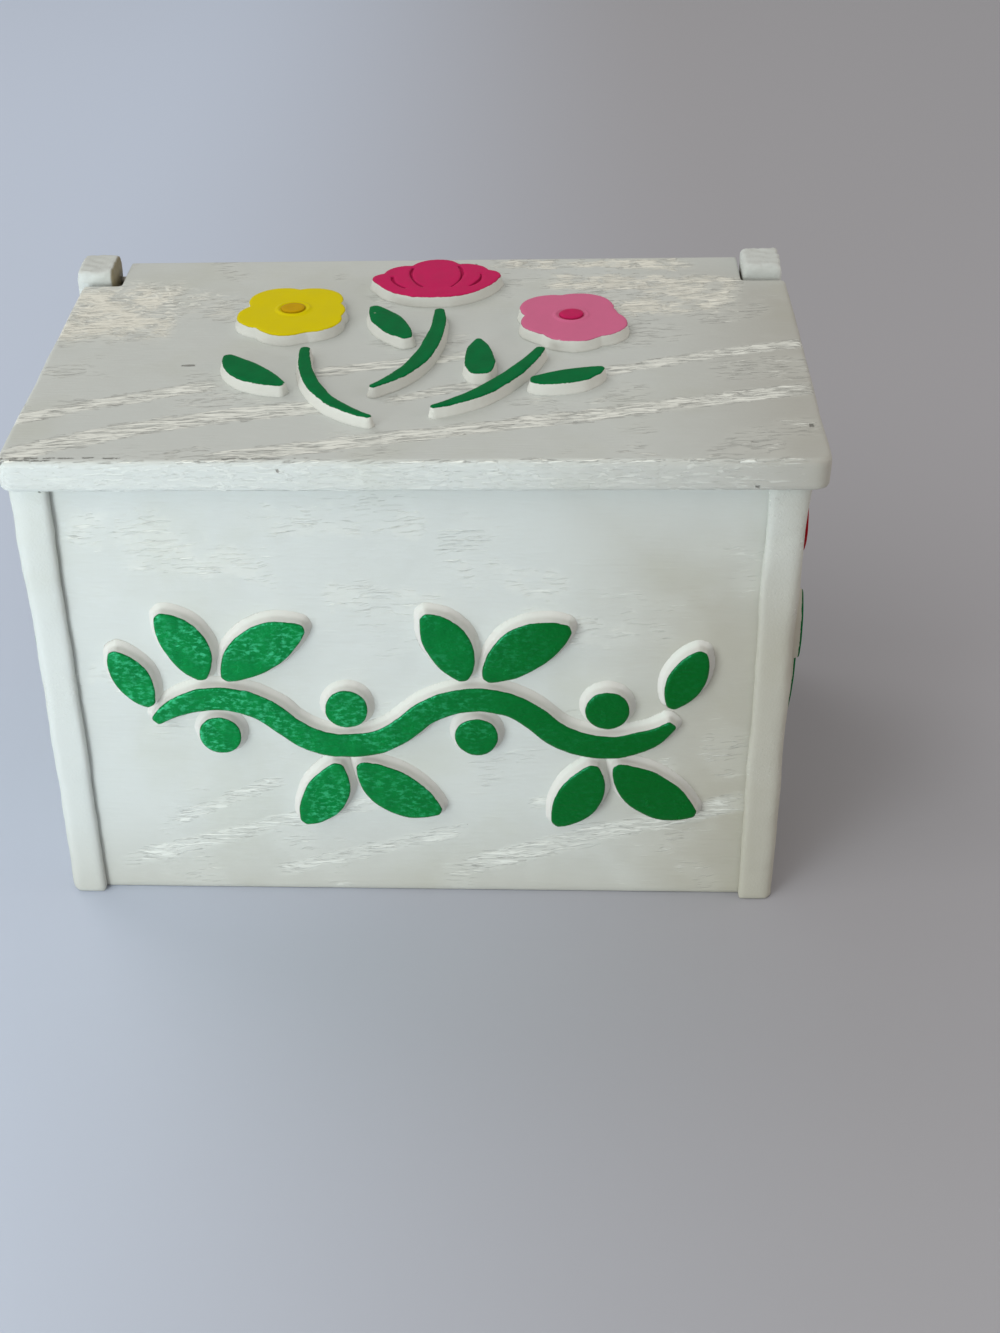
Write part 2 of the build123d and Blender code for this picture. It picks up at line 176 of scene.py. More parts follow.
# %% [markdown]
# ## Colours, ramps and noise
# Three kinds of node do most of the work. `mix_colour` lays one colour over another, `ramp`
# turns a slow change into an edge as soft as its two ends are far apart, and `noise` is the
# unevenness of anything made by hand. An image could hold the same finish, but it would blur
# when seen from close by, and noise doesn't.


# %% Colours, ramps and noise
def mix_colour(tree, share, first, second, blend="MIX"):
    made = add(tree, "ShaderNodeMix", {"data_type": "RGBA", "blend_type": blend})
    for socket, value in zip((made.inputs[0], made.inputs[6], made.inputs[7]), (share, first, second)):
        fill(tree, socket, value)
    return made.outputs[2]


def between(first, second, share):
    """The fixed colour that lies that share of the way from the first to the second."""
    return tuple(a + (b - a) * share for a, b in zip(first, second))


def ramp(tree, value, low, high, start=0.0, end=1.0):
    """The value brought from the range low to high to the range start to end, and kept in it."""
    made = add(tree, "ShaderNodeMapRange", {"interpolation_type": "SMOOTHSTEP"})
    for socket, number in zip(made.inputs, (value, low, high, start, end)):
        fill(tree, socket, number)
    return made.outputs[0]


def noise(tree, position, size, detail=2.0, roughness=0.5, stretch=(1, 1, 1), shift=0.0):
    """Soft noise from 0 to 1, whose lumps are about that size in millimetres."""
    scaled = vector_calc(tree, "MULTIPLY", position, [1 / s for s in stretch])
    moved = vector_calc(tree, "ADD", scaled, (shift, shift, shift))
    made = add(
        tree, "ShaderNodeTexNoise", Vector=moved, Scale=1 / size, Detail=detail, Roughness=roughness
    )
    return made.outputs["Fac"]


def sway(tree, position, size, detail=2.0, roughness=0.5, shift=0.0):
    """The same noise about 0: from -0.5 to 0.5."""
    return calc(tree, "SUBTRACT", noise(tree, position, size, detail, roughness, shift=shift), 0.5)


print("finish helpers:", [helper.__name__ for helper in (mix_colour, between, ramp, noise, sway)])

# %% [markdown]
# ## Groups
# An effect that several finishes share, such as grain, is the same thing on each piece of the
# box. It could be copied into each material, but a node group with named inputs and outputs is
# built once, and each material gives it its own values.


# %% Making and using a group
def new_group(name, inputs, outputs):
    """A node group with named sockets; returns it with its inner input and output sockets."""
    kinds = {"float": "NodeSocketFloat", "vector": "NodeSocketVector"}
    tree = bpy.data.node_groups.new(name, "ShaderNodeTree")
    for side, sockets in (("INPUT", inputs), ("OUTPUT", outputs)):
        for socket, kind in sockets.items():
            tree.interface.new_socket(name=socket, in_out=side, socket_type=kinds[kind])
    return tree, tree.nodes.new("NodeGroupInput").outputs, tree.nodes.new("NodeGroupOutput").inputs


def use_group(tree, group, **sockets):
    return add(tree, "ShaderNodeGroup", {"node_tree": group}, **sockets).outputs


print("group helpers:", [helper.__name__ for helper in (new_group, use_group)])

# %% [markdown]
# ## A band of grain
# The moulded grain lies in bands that sweep across a panel, like growth rings in a sawn board.
# A wood texture would give rings all over, and not where they lie on this box. So each band is
# a gentle arc between two points, and the group measures how far a point of the surface is
# from that arc. It serves a crack in the paint as well, which is only a very thin band.


# %% Group: one band
def make_band_group():
    tree, given, result = new_group(
        "grain_band",
        {
            "Across": "float", "Up": "float", "Start": "vector", "End": "vector",
            "Bow": "float", "Half Width": "float", "Waver": "float",
        },
        {"Mask": "float"},
    )
    flat = add(tree, "ShaderNodeCombineXYZ", X=given["Across"], Y=given["Up"]).outputs[0]
    chord = vector_calc(tree, "SUBTRACT", given["End"], given["Start"])
    reach = vector_calc(tree, "SUBTRACT", flat, given["Start"])
    length = vector_calc(tree, "LENGTH", chord, output=1)
    along = calc(tree, "DIVIDE", dot(tree, reach, chord), length)
    share = calc(tree, "DIVIDE", along, length)
    normal = vector_calc(tree, "NORMALIZE", vector_calc(tree, "CROSS_PRODUCT", (0, 0, 1), chord))
    aside = dot(tree, reach, normal)
    arc = calc(tree, "MULTIPLY", share, calc(tree, "SUBTRACT", 1.0, share))
    bow = calc(tree, "MULTIPLY", calc(tree, "MULTIPLY", arc, 4.0), given["Bow"])
    astray = calc(tree, "MULTIPLY", sway(tree, flat, 5.0, 3.0, 0.6), given["Waver"])
    strayed = calc(tree, "ADD", calc(tree, "SUBTRACT", aside, bow), astray)
    off = calc(tree, "DIVIDE", calc(tree, "ABSOLUTE", strayed), given["Half Width"])
    inside = ramp(tree, off, 1.0, 0.45)
    ends = calc(tree, "MULTIPLY", ramp(tree, share, 0.0, 0.12), ramp(tree, share, 1.0, 0.88))
    fill(tree, result["Mask"], calc(tree, "MULTIPLY", inside, ends))
    return tree


band_group = make_band_group()
print("band group nodes:", len(band_group.nodes))

# %% [markdown]
# ## Strokes of grain
# Inside a band the grain is a crowd of short strokes that run with the fibre: ridges that hold
# pale paint with a painted highlight, and dark pores between them with a painted shade beside
# the ridges. Each could be modelled, at a great cost in points.
# Stretched noise gives them instead. It is drawn out along the fibre and cut at a threshold
# that lets more of it through where the grain is dense.


# %% Group: strokes
def make_stroke_group():
    tree, given, result = new_group(
        "grain_strokes",
        {"Along": "float", "Across": "float", "Depth": "float", "Density": "float"},
        {"Light": "float", "Dark": "float", "Net": "float"},
    )
    place = add(
        tree, "ShaderNodeCombineXYZ", X=given["Along"], Y=given["Across"], Z=given["Depth"]
    ).outputs[0]

    def bent(amount, size, shift):
        """The place, pushed to and fro over the fibre, so that strokes aren't ruled lines."""
        push = calc(tree, "MULTIPLY", sway(tree, place, size, 1.0, shift=shift), amount)
        aside = add(tree, "ShaderNodeCombineXYZ", Y=push).outputs[0]
        return vector_calc(tree, "ADD", place, aside)

    def lit(field, sparse, crowded):
        threshold = ramp(tree, given["Density"], 0.0, 1.0, sparse, crowded)
        return ramp(tree, calc(tree, "SUBTRACT", field, threshold), -0.02, 0.06)

    fine = noise(tree, bent(2.2, 8.0, 0.0), 0.52, 3.0, 0.6, stretch=(14.0, 1.0, 1.0))
    broad = noise(tree, bent(4.0, 9.0, 14.0), 1.3, 3.0, 0.6, stretch=(6.0, 1.0, 1.0), shift=37.0)
    pores_and_shade = noise(tree, bent(2.6, 7.0, 0.0), 0.42, 1.0, 0.5, stretch=(10.0, 1.0, 1.0), shift=71.0)
    knots = noise(tree, bent(3.0, 5.0, 55.0), 1.9, 2.0, 0.6, stretch=(2.8, 1.0, 1.0), shift=90.0)
    broad_light = calc(tree, "MULTIPLY", lit(broad, 0.68, 0.50), 0.6)
    light = calc(tree, "MAXIMUM", lit(fine, 0.63, 0.46), broad_light)
    present = ramp(tree, given["Density"], 0.02, 0.25)
    light_there = calc(tree, "MULTIPLY", light, present)
    # the pores also carry a painted shade beside the ridges
    dark_there = calc(tree, "MULTIPLY", lit(pores_and_shade, 0.66, 0.54), present)
    not_light = calc(tree, "SUBTRACT", 1.0, light_there)
    net = ramp(tree, calc(tree, "ABSOLUTE", calc(tree, "SUBTRACT", knots, 0.5)), 0.052, 0.018)
    fill(tree, result["Light"], light_there)
    fill(tree, result["Dark"], calc(tree, "MULTIPLY", dark_there, not_light))
    fill(tree, result["Net"], net)
    return tree


stroke_group = make_stroke_group()
print("stroke group nodes:", len(stroke_group.nodes))

# %% [markdown]
# ## A block of space
# The box was sprayed with its lid on, so the inside and the gaps at the hinge stayed brown, and
# some places carry a painted shade. Such places could be painted on each mesh. A soft-edged
# block of space does it by place alone, so it holds on whatever mesh lies there, and noise
# gives it a ragged edge.


# %% Group: a block of space
def make_block_group():
    tree, given, result = new_group(
        "within_block",
        {
            "Position": "vector", "Middle": "vector", "Half Size": "vector",
            "Fade": "float", "Ragged": "float",
        },
        {"Mask": "float"},
    )
    offset = vector_calc(tree, "SUBTRACT", given["Position"], given["Middle"])
    room = vector_calc(tree, "SUBTRACT", given["Half Size"], vector_calc(tree, "ABSOLUTE", offset))
    split = add(tree, "ShaderNodeSeparateXYZ", Vector=room).outputs
    least = calc(tree, "MINIMUM", calc(tree, "MINIMUM", split[0], split[1]), split[2])
    rough = calc(tree, "MULTIPLY", sway(tree, given["Position"], 1.6, 3.0), given["Ragged"])
    fill(tree, result["Mask"], ramp(tree, calc(tree, "ADD", least, rough), 0.0, given["Fade"]))
    return tree


block_group = make_block_group()
print("block group nodes:", len(block_group.nodes))

# %% [markdown]
# ## Brushed enamel
# The coloured tops were painted by hand. The colour stops just below the top edge, in a line
# that wavers, and the brush leaves fine furrows. A separate mesh could carry the colour, but
# its edge would be a seam. A mask by height lets the paint end anywhere on one surface.


# %% Group: painted top
def make_enamel_group():
    tree, given, result = new_group(
        "brushed_enamel",
        {"Position": "vector", "Height": "float", "Edge": "float"},
        {"Mask": "float", "Tone": "float", "Furrow": "float"},
    )
    place = given["Position"]
    waver_near = calc(tree, "MULTIPLY", sway(tree, place, 1.5, 3.0, 0.6), 0.35)
    waver_far = calc(tree, "MULTIPLY", sway(tree, place, 6.0, 1.0), 0.3)
    line = calc(tree, "ADD", given["Edge"], calc(tree, "ADD", waver_near, waver_far))
    above = calc(tree, "SUBTRACT", given["Height"], line)
    tone = noise(tree, place, 3.2, 3.0, 0.6, stretch=(1.0, 1.6, 1.6), shift=11.0)
    furrow = noise(tree, place, 0.62, 2.0, 0.55, stretch=(1.9, 1.0, 1.0), shift=5.0)
    fill(tree, result["Mask"], ramp(tree, above, -0.04, 0.05))
    fill(tree, result["Tone"], tone)
    fill(tree, result["Furrow"], furrow)
    return tree


enamel_group = make_enamel_group()
print("enamel group nodes:", len(enamel_group.nodes))

# %% [markdown]
# ## Specks and grime
# A box that has stood in a kitchen for years has a few dark specks and a faint bloom of grime.
# Specks could be scattered as tiny discs, but they belong to the surface. Cells of a Voronoi
# texture give them: only a few cells are chosen to hold one.


# %% Group: specks
def make_speck_group():
    tree, given, result = new_group(
        "specks",
        {"Position": "vector", "Spacing": "float", "Size": "float"},
        {"Mask": "float", "Grime": "float"},
    )
    place = given["Position"]
    per_speck = calc(tree, "DIVIDE", 1.0, given["Spacing"])
    cells = add(tree, "ShaderNodeTexVoronoi", Vector=place, Scale=per_speck).outputs
    radius = calc(tree, "MULTIPLY", given["Size"], per_speck)
    lumpy = calc(tree, "MULTIPLY", noise(tree, place, 0.35), 1.4)
    near = calc(tree, "MULTIPLY", cells["Distance"], lumpy)
    spot = ramp(tree, near, radius, calc(tree, "MULTIPLY", radius, 0.6))
    lot = add(tree, "ShaderNodeSeparateColor", Color=cells["Color"]).outputs[0]
    chosen = calc(tree, "GREATER_THAN", lot, 0.72)
    fill(tree, result["Mask"], calc(tree, "MULTIPLY", spot, chosen))
    fill(tree, result["Grime"], noise(tree, place, 24.0, 4.0, 0.55, shift=3.0))
    return tree


speck_group = make_speck_group()
print("speck group nodes:", len(speck_group.nodes))

# %% [markdown]
# ## Materials
# Every finish starts from the same few parts: a Principled shader, and the place on the surface
# in millimetres. That place is the object's own, and not a picture's, so a finish stays put
# when the lid turns. A bump bends the light as fine relief would, without any more points.


# %% Parts of a material
def new_material(name):
    material = bpy.data.materials.new(name)
    material.use_nodes = True
    tree = material.node_tree
    coordinates = add(tree, "ShaderNodeTexCoord").outputs["Object"]
    position = vector_calc(tree, "MULTIPLY", coordinates, (1 / mm, 1 / mm, 1 / mm))
    return material, tree, tree.nodes["Principled BSDF"], position


def surface_lean(tree):
    """The direction that the surface looks in, before any bump."""
    return add(tree, "ShaderNodeTexCoord").outputs["Normal"]


def bump(tree, height, distance, normal=None):
    made = add(tree, "ShaderNodeBump", Height=height, Distance=distance * mm)
    if normal is not None:
        tree.links.new(normal, made.inputs["Normal"])
    return made.outputs["Normal"]


def join_masks(tree, masks):
    joined = masks[0]
    for mask in masks[1:]:
        joined = calc(tree, "MAXIMUM", joined, mask)
    return joined


print("material helpers:", [helper.__name__ for helper in (new_material, surface_lean, bump, join_masks)])

# %% [markdown]
# ## Grain on a panel
# A panel of the box is flat, so its grain can be laid out as on a drawing. `across` and `up`
# say which two axes the panel lies in. The fibre runs a few degrees off level. Rows of a table
# give the bands and blocks, which is easier to change than as many groups placed by hand.

# %% Laying out bands and blocks
fibre_pull = 14.0  # how many times longer than wide the fibre is


def panel_axes(tree, position, across, up, fibre_tilt):
    """Places on the panel: across it, up it and into it, then along the fibre and over it."""
    axes = add(tree, "ShaderNodeSeparateXYZ", Vector=position).outputs
    flat_across, flat_up, depth = axes[across], axes[up], axes[3 - across - up]
    run, climb = math.cos(math.radians(fibre_tilt)), math.sin(math.radians(fibre_tilt))

    def part(value, factor):
        return calc(tree, "MULTIPLY", value, factor)

    along = calc(tree, "ADD", part(flat_across, run), part(flat_up, climb))
    over = calc(tree, "SUBTRACT", part(flat_up, run), part(flat_across, climb))
    return flat_across, flat_up, depth, along, over


def fibre_stretch(across):
    """Long along the panel's fibre, short over it."""
    return [fibre_pull if axis == across else 1.0 for axis in range(3)]


def bands_mask(tree, axes, rows, waver_size):
    masks = []
    for start, end, bow, half_width, strength in rows:
        mask = use_group(
            tree, band_group, Across=axes[0], Up=axes[1], Start=(*start, 0), End=(*end, 0),
            Bow=bow, Half_Width=half_width, Waver=waver_size,
        )[0]
        masks.append(calc(tree, "MULTIPLY", mask, strength))
    return join_masks(tree, masks)


def blocks_mask(tree, position, rows, fade):
    masks = []
    for middle, half, ragged in rows:
        masks.append(use_group(
            tree, block_group, Position=position, Middle=middle, Half_Size=half,
            Fade=fade, Ragged=ragged,
        )[0])
    return join_masks(tree, masks)


print("layout helpers:", [helper.__name__ for helper in (panel_axes, bands_mask, blocks_mask)])

# %% [markdown]
# ## How dense the grain is
# On the box the grain is clear in the bands, looser in broad patches by the hinges, and almost
# gone elsewhere. One texture for the whole panel would be too even. So the bands, the patches
# and a slow drift are joined into one density. Where it is high, the sprayed paint has also
# sunk in and looks washed.

# %% Density of the grain
band_waver = 2.4  # millimetres that a band strays from its arc
patch_waver = 9.0


def grain_density(tree, position, axes, bands, patches, haze):
    """The density, how washed the paint is, and the patches alone if there are any."""
    drift = ramp(tree, noise(tree, position, 17.0, shift=21.0), 0.50, 0.68, 0.0, haze)
    density = join_masks(tree, [bands_mask(tree, axes, bands, band_waver), drift])
    wash = calc(tree, "MULTIPLY", density, 0.6)
    if not patches:
        return density, wash, None
    worn = ramp(tree, noise(tree, position, 7.0, 3.0, 0.6, shift=31.0), 0.38, 0.58, 0.35, 1.0)
    spread = calc(tree, "MULTIPLY", bands_mask(tree, axes, patches, patch_waver), worn)
    wash = join_masks(tree, [wash, calc(tree, "MULTIPLY", spread, 0.9)])
    return join_masks(tree, [density, spread]), wash, spread


print("band waver:", band_waver, "patch waver:", patch_waver)

# %% [markdown]
# ## The whites
# The white of the box isn't one white. It is cool where the paint is thick, cream where the
# grain comes through, and brownish where a painted shade lies over it. These could be typed in
# where they are used, but with a name each, all pieces of the box take the same one.

# %% Colours of the white paint
white = (0.625, 0.66, 0.635, 1)
cream = (0.90, 0.885, 0.78, 1)
wash_white = (0.735, 0.76, 0.71, 1)
wash_cream = (0.88, 0.88, 0.78, 1)
# the streaks' white holds a painted highlight, and the pores' grey a painted shade
streak_highlight_white = (0.94, 0.965, 0.90, 1)
pore_and_shade_grey = (0.44, 0.45, 0.42, 1)
grime_tint = (0.90, 0.89, 0.82, 1)
# the next three tints are painted shade: on the body, on the lid's right end and on its lip
body_shade_tint = (0.75, 0.695, 0.62, 1)
lid_end_shade_tint = (0.755, 0.715, 0.675, 1)
lip_shade_tint = (0.885, 0.86, 0.84, 1)
bare_brown = (0.23, 0.205, 0.125, 1)
bare_light = (0.34, 0.30, 0.19, 1)
speck_brown = (0.10, 0.08, 0.06, 1)
crack_grey = (0.20, 0.20, 0.18, 1)
print("white:", white[:3], "cream:", cream[:3], "bare:", bare_brown[:3])

# %% [markdown]
# ## Painted shade
# A painted shade darkens the box towards its right and its foot and under the lid's right end,
# and darkens the right end of the lid and of its lip. A darker colour could be laid over it, but
# the paint must show through, so its tint multiplies what is there, and fades in over a few
# centimetres.

# %% White with grime and painted shade
shade_fade = 46.0  # millimetres over which the soil grows
lip_fade = 22.0


def grimy_and_shaded_white(tree, position, grime, lean, shaded, shade, shaded_lip):
    """The plain white with its bloom of grime, and with painted shade where the blocks lie."""
    bloom = ramp(tree, grime, 0.45, 0.75, 0.0, 0.5)
    colour = mix_colour(tree, bloom, white, grime_tint, "MULTIPLY")
    # painted shade: darker where the shade blocks lie
    if shaded:
        shaded_there = blocks_mask(tree, position, shaded, shade_fade)
        colour = mix_colour(tree, shaded_there, colour, shade, "MULTIPLY")
    # painted shade on the front of the lip at the lid's right end
    if shaded_lip:
        on_lip = ramp(tree, lean[1], -0.3, -0.9)
        at_end = blocks_mask(tree, position, shaded_lip, lip_fade)
        colour = mix_colour(tree, calc(tree, "MULTIPLY", at_end, on_lip), colour, lip_shade_tint, "MULTIPLY")
    return colour


print("soil grows over", shade_fade, "mm, and on the lip over", lip_fade, "mm")

# %% [markdown]
# ## Wear
# The paint has cracked along the lid's front edge, and is chipped and scratched in a few
# places. Holes could be cut in the mesh, but the paint is thinner than a sheet of paper. So
# each fault changes the colour and sinks the bump. Unpainted plastic is mottled, and its grain
# is faint.

# %% Cracks, chips, scratches and bare plastic
crack_floor = lid_high.z - 1.5  # cracks lie on the lid's top, above this
crack_waver = 1.5
mark_fade, scratch_fade, bare_fade = 0.3, 0.4, 0.5  # how soft their edges are, in millimetres


def worn_paint(tree, position, axes, colour, height, cracks, marks, scratches, bare):
    if cracks:
        split = bands_mask(tree, axes, cracks, crack_waver)
        gaps = ramp(tree, noise(tree, position, 2.2, 3.0, 0.6, shift=70.0), 0.46, 0.56)
        on_top = ramp(tree, axes[2], crack_floor, crack_floor + 0.5)
        broken = calc(tree, "MULTIPLY", calc(tree, "MULTIPLY", split, gaps), on_top)
        colour = mix_colour(tree, calc(tree, "MULTIPLY", broken, 0.8), colour, crack_grey)
        height = calc(tree, "SUBTRACT", height, calc(tree, "MULTIPLY", broken, 1.6))
    if marks:
        marked = blocks_mask(tree, position, marks, mark_fade)
        colour = mix_colour(tree, calc(tree, "MULTIPLY", marked, 0.85), colour, crack_grey)
        height = calc(tree, "SUBTRACT", height, marked)
    if scratches:
        scored = blocks_mask(tree, position, scratches, scratch_fade)
        colour = mix_colour(tree, calc(tree, "MULTIPLY", scored, 0.35), colour, pore_and_shade_grey)
        height = calc(tree, "SUBTRACT", height, calc(tree, "MULTIPLY", scored, 0.6))
    if bare:
        mottled = mix_colour(tree, noise(tree, position, 2.0, 4.0), bare_brown, bare_light)
        unpainted = blocks_mask(tree, position, bare, bare_fade)
        colour = mix_colour(tree, unpainted, colour, mottled)
        height = calc(tree, "MULTIPLY", height, ramp(tree, unpainted, 0.0, 1.0, 1.0, 0.25))
    return colour, height


print("cracks lie above", round(crack_floor, 2), "mm")

# %% [markdown]
# ## White paint over moulded grain
# The whole coat is put together here, in the order in which it was made: grain from the mould,
# sprayed white, streaks and pores, specks, and last the wear. One function serves all panels,
# because only the layout of their bands differs. Grain shows less on faces that look sideways,
# where the mould had to slide off.

# %% White paint
plain_warmth = 0.15  # how cream a streak is outside the patches
white_gloss = 0.4  # the Principled shader's specular level


def white_paint(
    name, across, up, bands, patches=(), bare=(), cracks=(), marks=(), nets=(), scratches=(),
    shaded=(), shade=body_shade_tint, shaded_lip=(), fibre_tilt=8.0, haze=0.35, contrast=0.9,
):
    material, tree, shader, position = new_material(name)
    axes = panel_axes(tree, position, across, up, fibre_tilt)
    lean = add(tree, "ShaderNodeSeparateXYZ", Vector=surface_lean(tree)).outputs
    face_on = ramp(tree, calc(tree, "ABSOLUTE", lean[3 - across - up]), 0.45, 0.8, 0.25, 1.0)
    density, wash, spread = grain_density(tree, position, axes, bands, patches, haze)
    specks = use_group(tree, speck_group, Position=position, Spacing=11.0, Size=0.30)
    strokes = use_group(
        tree, stroke_group, Along=axes[3], Across=axes[4], Depth=axes[2], Density=density
    )

    lines = strokes["Light"]
    if nets:
        netted = calc(tree, "MULTIPLY", strokes["Net"], bands_mask(tree, axes, nets, patch_waver))
        lines = calc(tree, "MAXIMUM", lines, netted)
    strength = calc(tree, "MULTIPLY", face_on, contrast)
    light = calc(tree, "MULTIPLY", lines, strength)
    dark = calc(tree, "MULTIPLY", strokes["Dark"], strength)
    thinned = between(wash_white, wash_cream, plain_warmth)
    streak = between(streak_highlight_white, cream, plain_warmth)
    if patches:
        warmth = calc(tree, "MULTIPLY", spread, 0.8)
        thinned = mix_colour(tree, warmth, wash_white, wash_cream)
        streak = mix_colour(tree, warmth, streak_highlight_white, cream)
        dark = calc(tree, "MULTIPLY", dark, ramp(tree, spread, 0.0, 1.0, 1.0, 0.45))

    colour = grimy_and_shaded_white(tree, position, specks["Grime"], lean, shaded, shade, shaded_lip)
    colour = mix_colour(tree, calc(tree, "MULTIPLY", wash, face_on), colour, thinned)
    # pores, darkened with painted shade beside the ridges
    colour = mix_colour(tree, calc(tree, "MULTIPLY", dark, contrast * 0.65), colour, pore_and_shade_grey)
    # pale streaks: cream paint with a painted highlight on the ridges
    colour = mix_colour(tree, light, colour, streak)
    colour = mix_colour(tree, calc(tree, "MULTIPLY", specks["Mask"], 0.7), colour, speck_brown)
    fibre = noise(tree, position, 0.5, stretch=fibre_stretch(across), shift=50.0)
    grain = calc(tree, "MULTIPLY", calc(tree, "SUBTRACT", light, dark), 0.6)
    height = calc(tree, "ADD", grain, calc(tree, "MULTIPLY", fibre, 0.22))
    colour, height = worn_paint(
        tree, position, axes, colour, height, cracks, marks, scratches, bare
    )

    cloudy = noise(tree, position, 4.0, 3.0, shift=9.0)
    fill(tree, shader.inputs["Base Color"], colour)
    fill(tree, shader.inputs["Roughness"], ramp(tree, cloudy, 0.3, 0.7, 0.42, 0.58))
    fill(tree, shader.inputs["Specular IOR Level"], white_gloss)
    broad = bump(tree, noise(tree, position, 6.0), 0.10)
    fill(tree, shader.inputs["Normal"], bump(tree, height, 0.30, normal=broad))
    return material


print("specular level of the white:", white_gloss)

# %% [markdown]
# ## Where the grain lies on the lid
# A row of a band gives its two ends on the panel, how far it bows, its half width and its
# strength, in millimetres. The lid's bands rise to the right like the grain of a plain-sawn
# board. Two broad patches lie by the hinges, and the left one is netted like birch bark. A row
# of a block gives its middle, its half size, and how ragged its edge is. All of this could be
# drawn at random, but a box is known by its marks, so they are laid out one by one.

# %% The lid's grain and wear
lid_bands = [
    ((-80, -34), (-36, -16), 1.2, 3.2, 0.95),
    ((-78, -50), (-12, -26), 4.2, 4.0, 1.0),
    ((-43, -50), (84, -17), -0.8, 3.4, 0.95),
    ((-22, -12), (14, -2), 0.2, 2.7, 0.85),
    ((34, -13), (82, 3), 1.2, 2.8, 0.8),
    ((-6, -25), (24, -13), 0.6, 2.7, 0.7),
    ((-80, -49.9), (80, -49.9), 0.0, 1.3, 0.5),
]
lid_patches = [
    ((-86, 20), (-50, 21), 0.0, 19.0, 1.0),
    ((-58, 26), (-34, 18), 1.0, 8.0, 0.45),
    ((12, 46.5), (60, 45), 0.0, 4.0, 0.95),
    ((24, 36), (70, 33), 0.0, 6.0, 0.9),
    ((36, 22), (68, 26), 0.0, 9.0, 0.85),
]
lid_nets = [((-86, 22), (-50, 24), 0.0, 17.0, 1.0), ((-62, 30), (-40, 26), 0.0, 7.0, 0.5)]
lid_cracks = [
    ((-80, -47.9), (-50, -48.0), 0.0, 0.30, 1.0),
    ((-80, -49.0), (-64, -48.8), 0.0, 0.26, 1.0),
    ((-36, -48.5), (-16, -48.4), 0.0, 0.26, 0.8),
]
lid_marks = [
    ((-45.4, -7.0, 103.6), (1.5, 0.45, 1.0), 0.9),
    ((75.2, -35.5, 103.4), (0.5, 0.9, 1.0), 0.6),
    ((64.4, -49.8, 98.2), (0.55, 1.0, 0.42), 0.9),
    ((-77.0, -49.0, 101.5), (0.8, 1.5, 0.6), 0.6),
]
lid_scratches = [
    ((-38.0, -49.8, 100.4), (6.0, 1.0, 0.10), 0.8),
    ((4.0, -49.8, 99.3), (9.0, 1.0, 0.10), 0.8),
    ((8.0, -49.8, 101.4), (9.0, 1.0, 0.08), 0.8),
    ((22.0, -49.8, 100.7), (4.0, 1.0, 0.10), 0.8),
    ((44.7, -49.8, 99.9), (0.9, 1.0, 0.16), 0.6),
]
print("on the lid:", len(lid_bands), "bands,", len(lid_patches), "patches,", len(lid_marks), "chips")

# %% [markdown]
# ## Where the grain lies on the body
# The front's bands lie low and slant the same way, under faint patches. The sides and the back
# have bands of their own, since the real panels were moulded from different boards. Copies of
# one layout would have shown at the corners, where two panels meet.

# %% The body's grain and wear
front_bands = [
    ((-65, 6), (6, 27), 0.8, 2.6, 0.6),
    ((-52, 17), (-26, 29), 0.4, 2.0, 0.55),
    ((-32, 4), (12, 17), 0.3, 2.2, 0.55),
    ((6, 5), (70, 25), 0.6, 3.2, 0.68),
    ((22, 22), (54, 34), 0.4, 2.2, 0.55),
]
front_patches = [
    ((-66, 88), (-40, 86), 0.0, 5.0, 0.34),
    ((-30, 89), (6, 88), 0.0, 4.0, 0.30),
    ((-56, 83), (-24, 78), 0.0, 5.0, 0.36),
    ((-18, 73), (8, 70), 0.0, 4.0, 0.30),
    ((-65, 55), (-50, 52), 0.0, 4.0, 0.34),
    ((8, 79), (32, 74), 0.0, 4.0, 0.28),
    ((20, 68), (44, 63), 0.0, 4.0, 0.28),
]
side_bands = [
    ((-46, 8), (30, 30), 1.5, 2.2, 0.7),
    ((-20, 3), (48, 22), 0.8, 2.0, 0.7),
    ((-48, 26), (-6, 40), 1.0, 1.6, 0.6),
    ((10, 52), (48, 60), 0.8, 1.8, 0.55),
    ((-48, 92), (-8, 95), 0.5, 2.4, 0.6),
]
back_bands = [
    ((-64, 10), (20, 34), 2.0, 2.4, 0.75),
    ((-30, 4), (66, 30), 1.6, 2.2, 0.75),
    ((-66, 40), (30, 62), 2.2, 2.6, 0.7),
    ((-10, 42), (68, 66), 1.8, 2.0, 0.7),
    ((-60, 72), (50, 90), 2.6, 3.4, 0.75),
]
bottom_bands = lid_bands[:4]
side_marks = [((-68.2, -47.2, 96.3), (0.35, 1.0, 0.40), 0.4)]
print("on the body:", len(front_bands), len(side_bands), len(back_bands), len(bottom_bands), "bands")

# %% [markdown]
# ## Bare places and painted shade
# The spray reached neither the space for the cards nor the gaps beside the ears, and stopped in
# a ragged line just inside the mouth. The blocks for it are measured on the solids, so that
# they move with the walls. The blocks of painted shade are broad, and need no such care.

# %% Bare places and painted shade
spray_reach = 1.6  # how far the white comes down inside the mouth
cavity_middle = Vector((0, (panel_high.y + back_panel_front) / 2, body_top / 2 + spray_reach))
cavity_half = Vector((side_face - 1.6, (back_panel_front - panel_high.y) / 2 + 1.5, body_top / 2))
gap_row = pivot.y - 2.4
notch_height = lid_high.z - 5.0
ear_gap = ((-67.6, pivot.y - 3.4, pivot.z), (1.9, 6.6, 6.4), 0.5)
left_gap = ((-67.5, gap_row, notch_height), (2.4, 8.0, 4.2), 0.8)
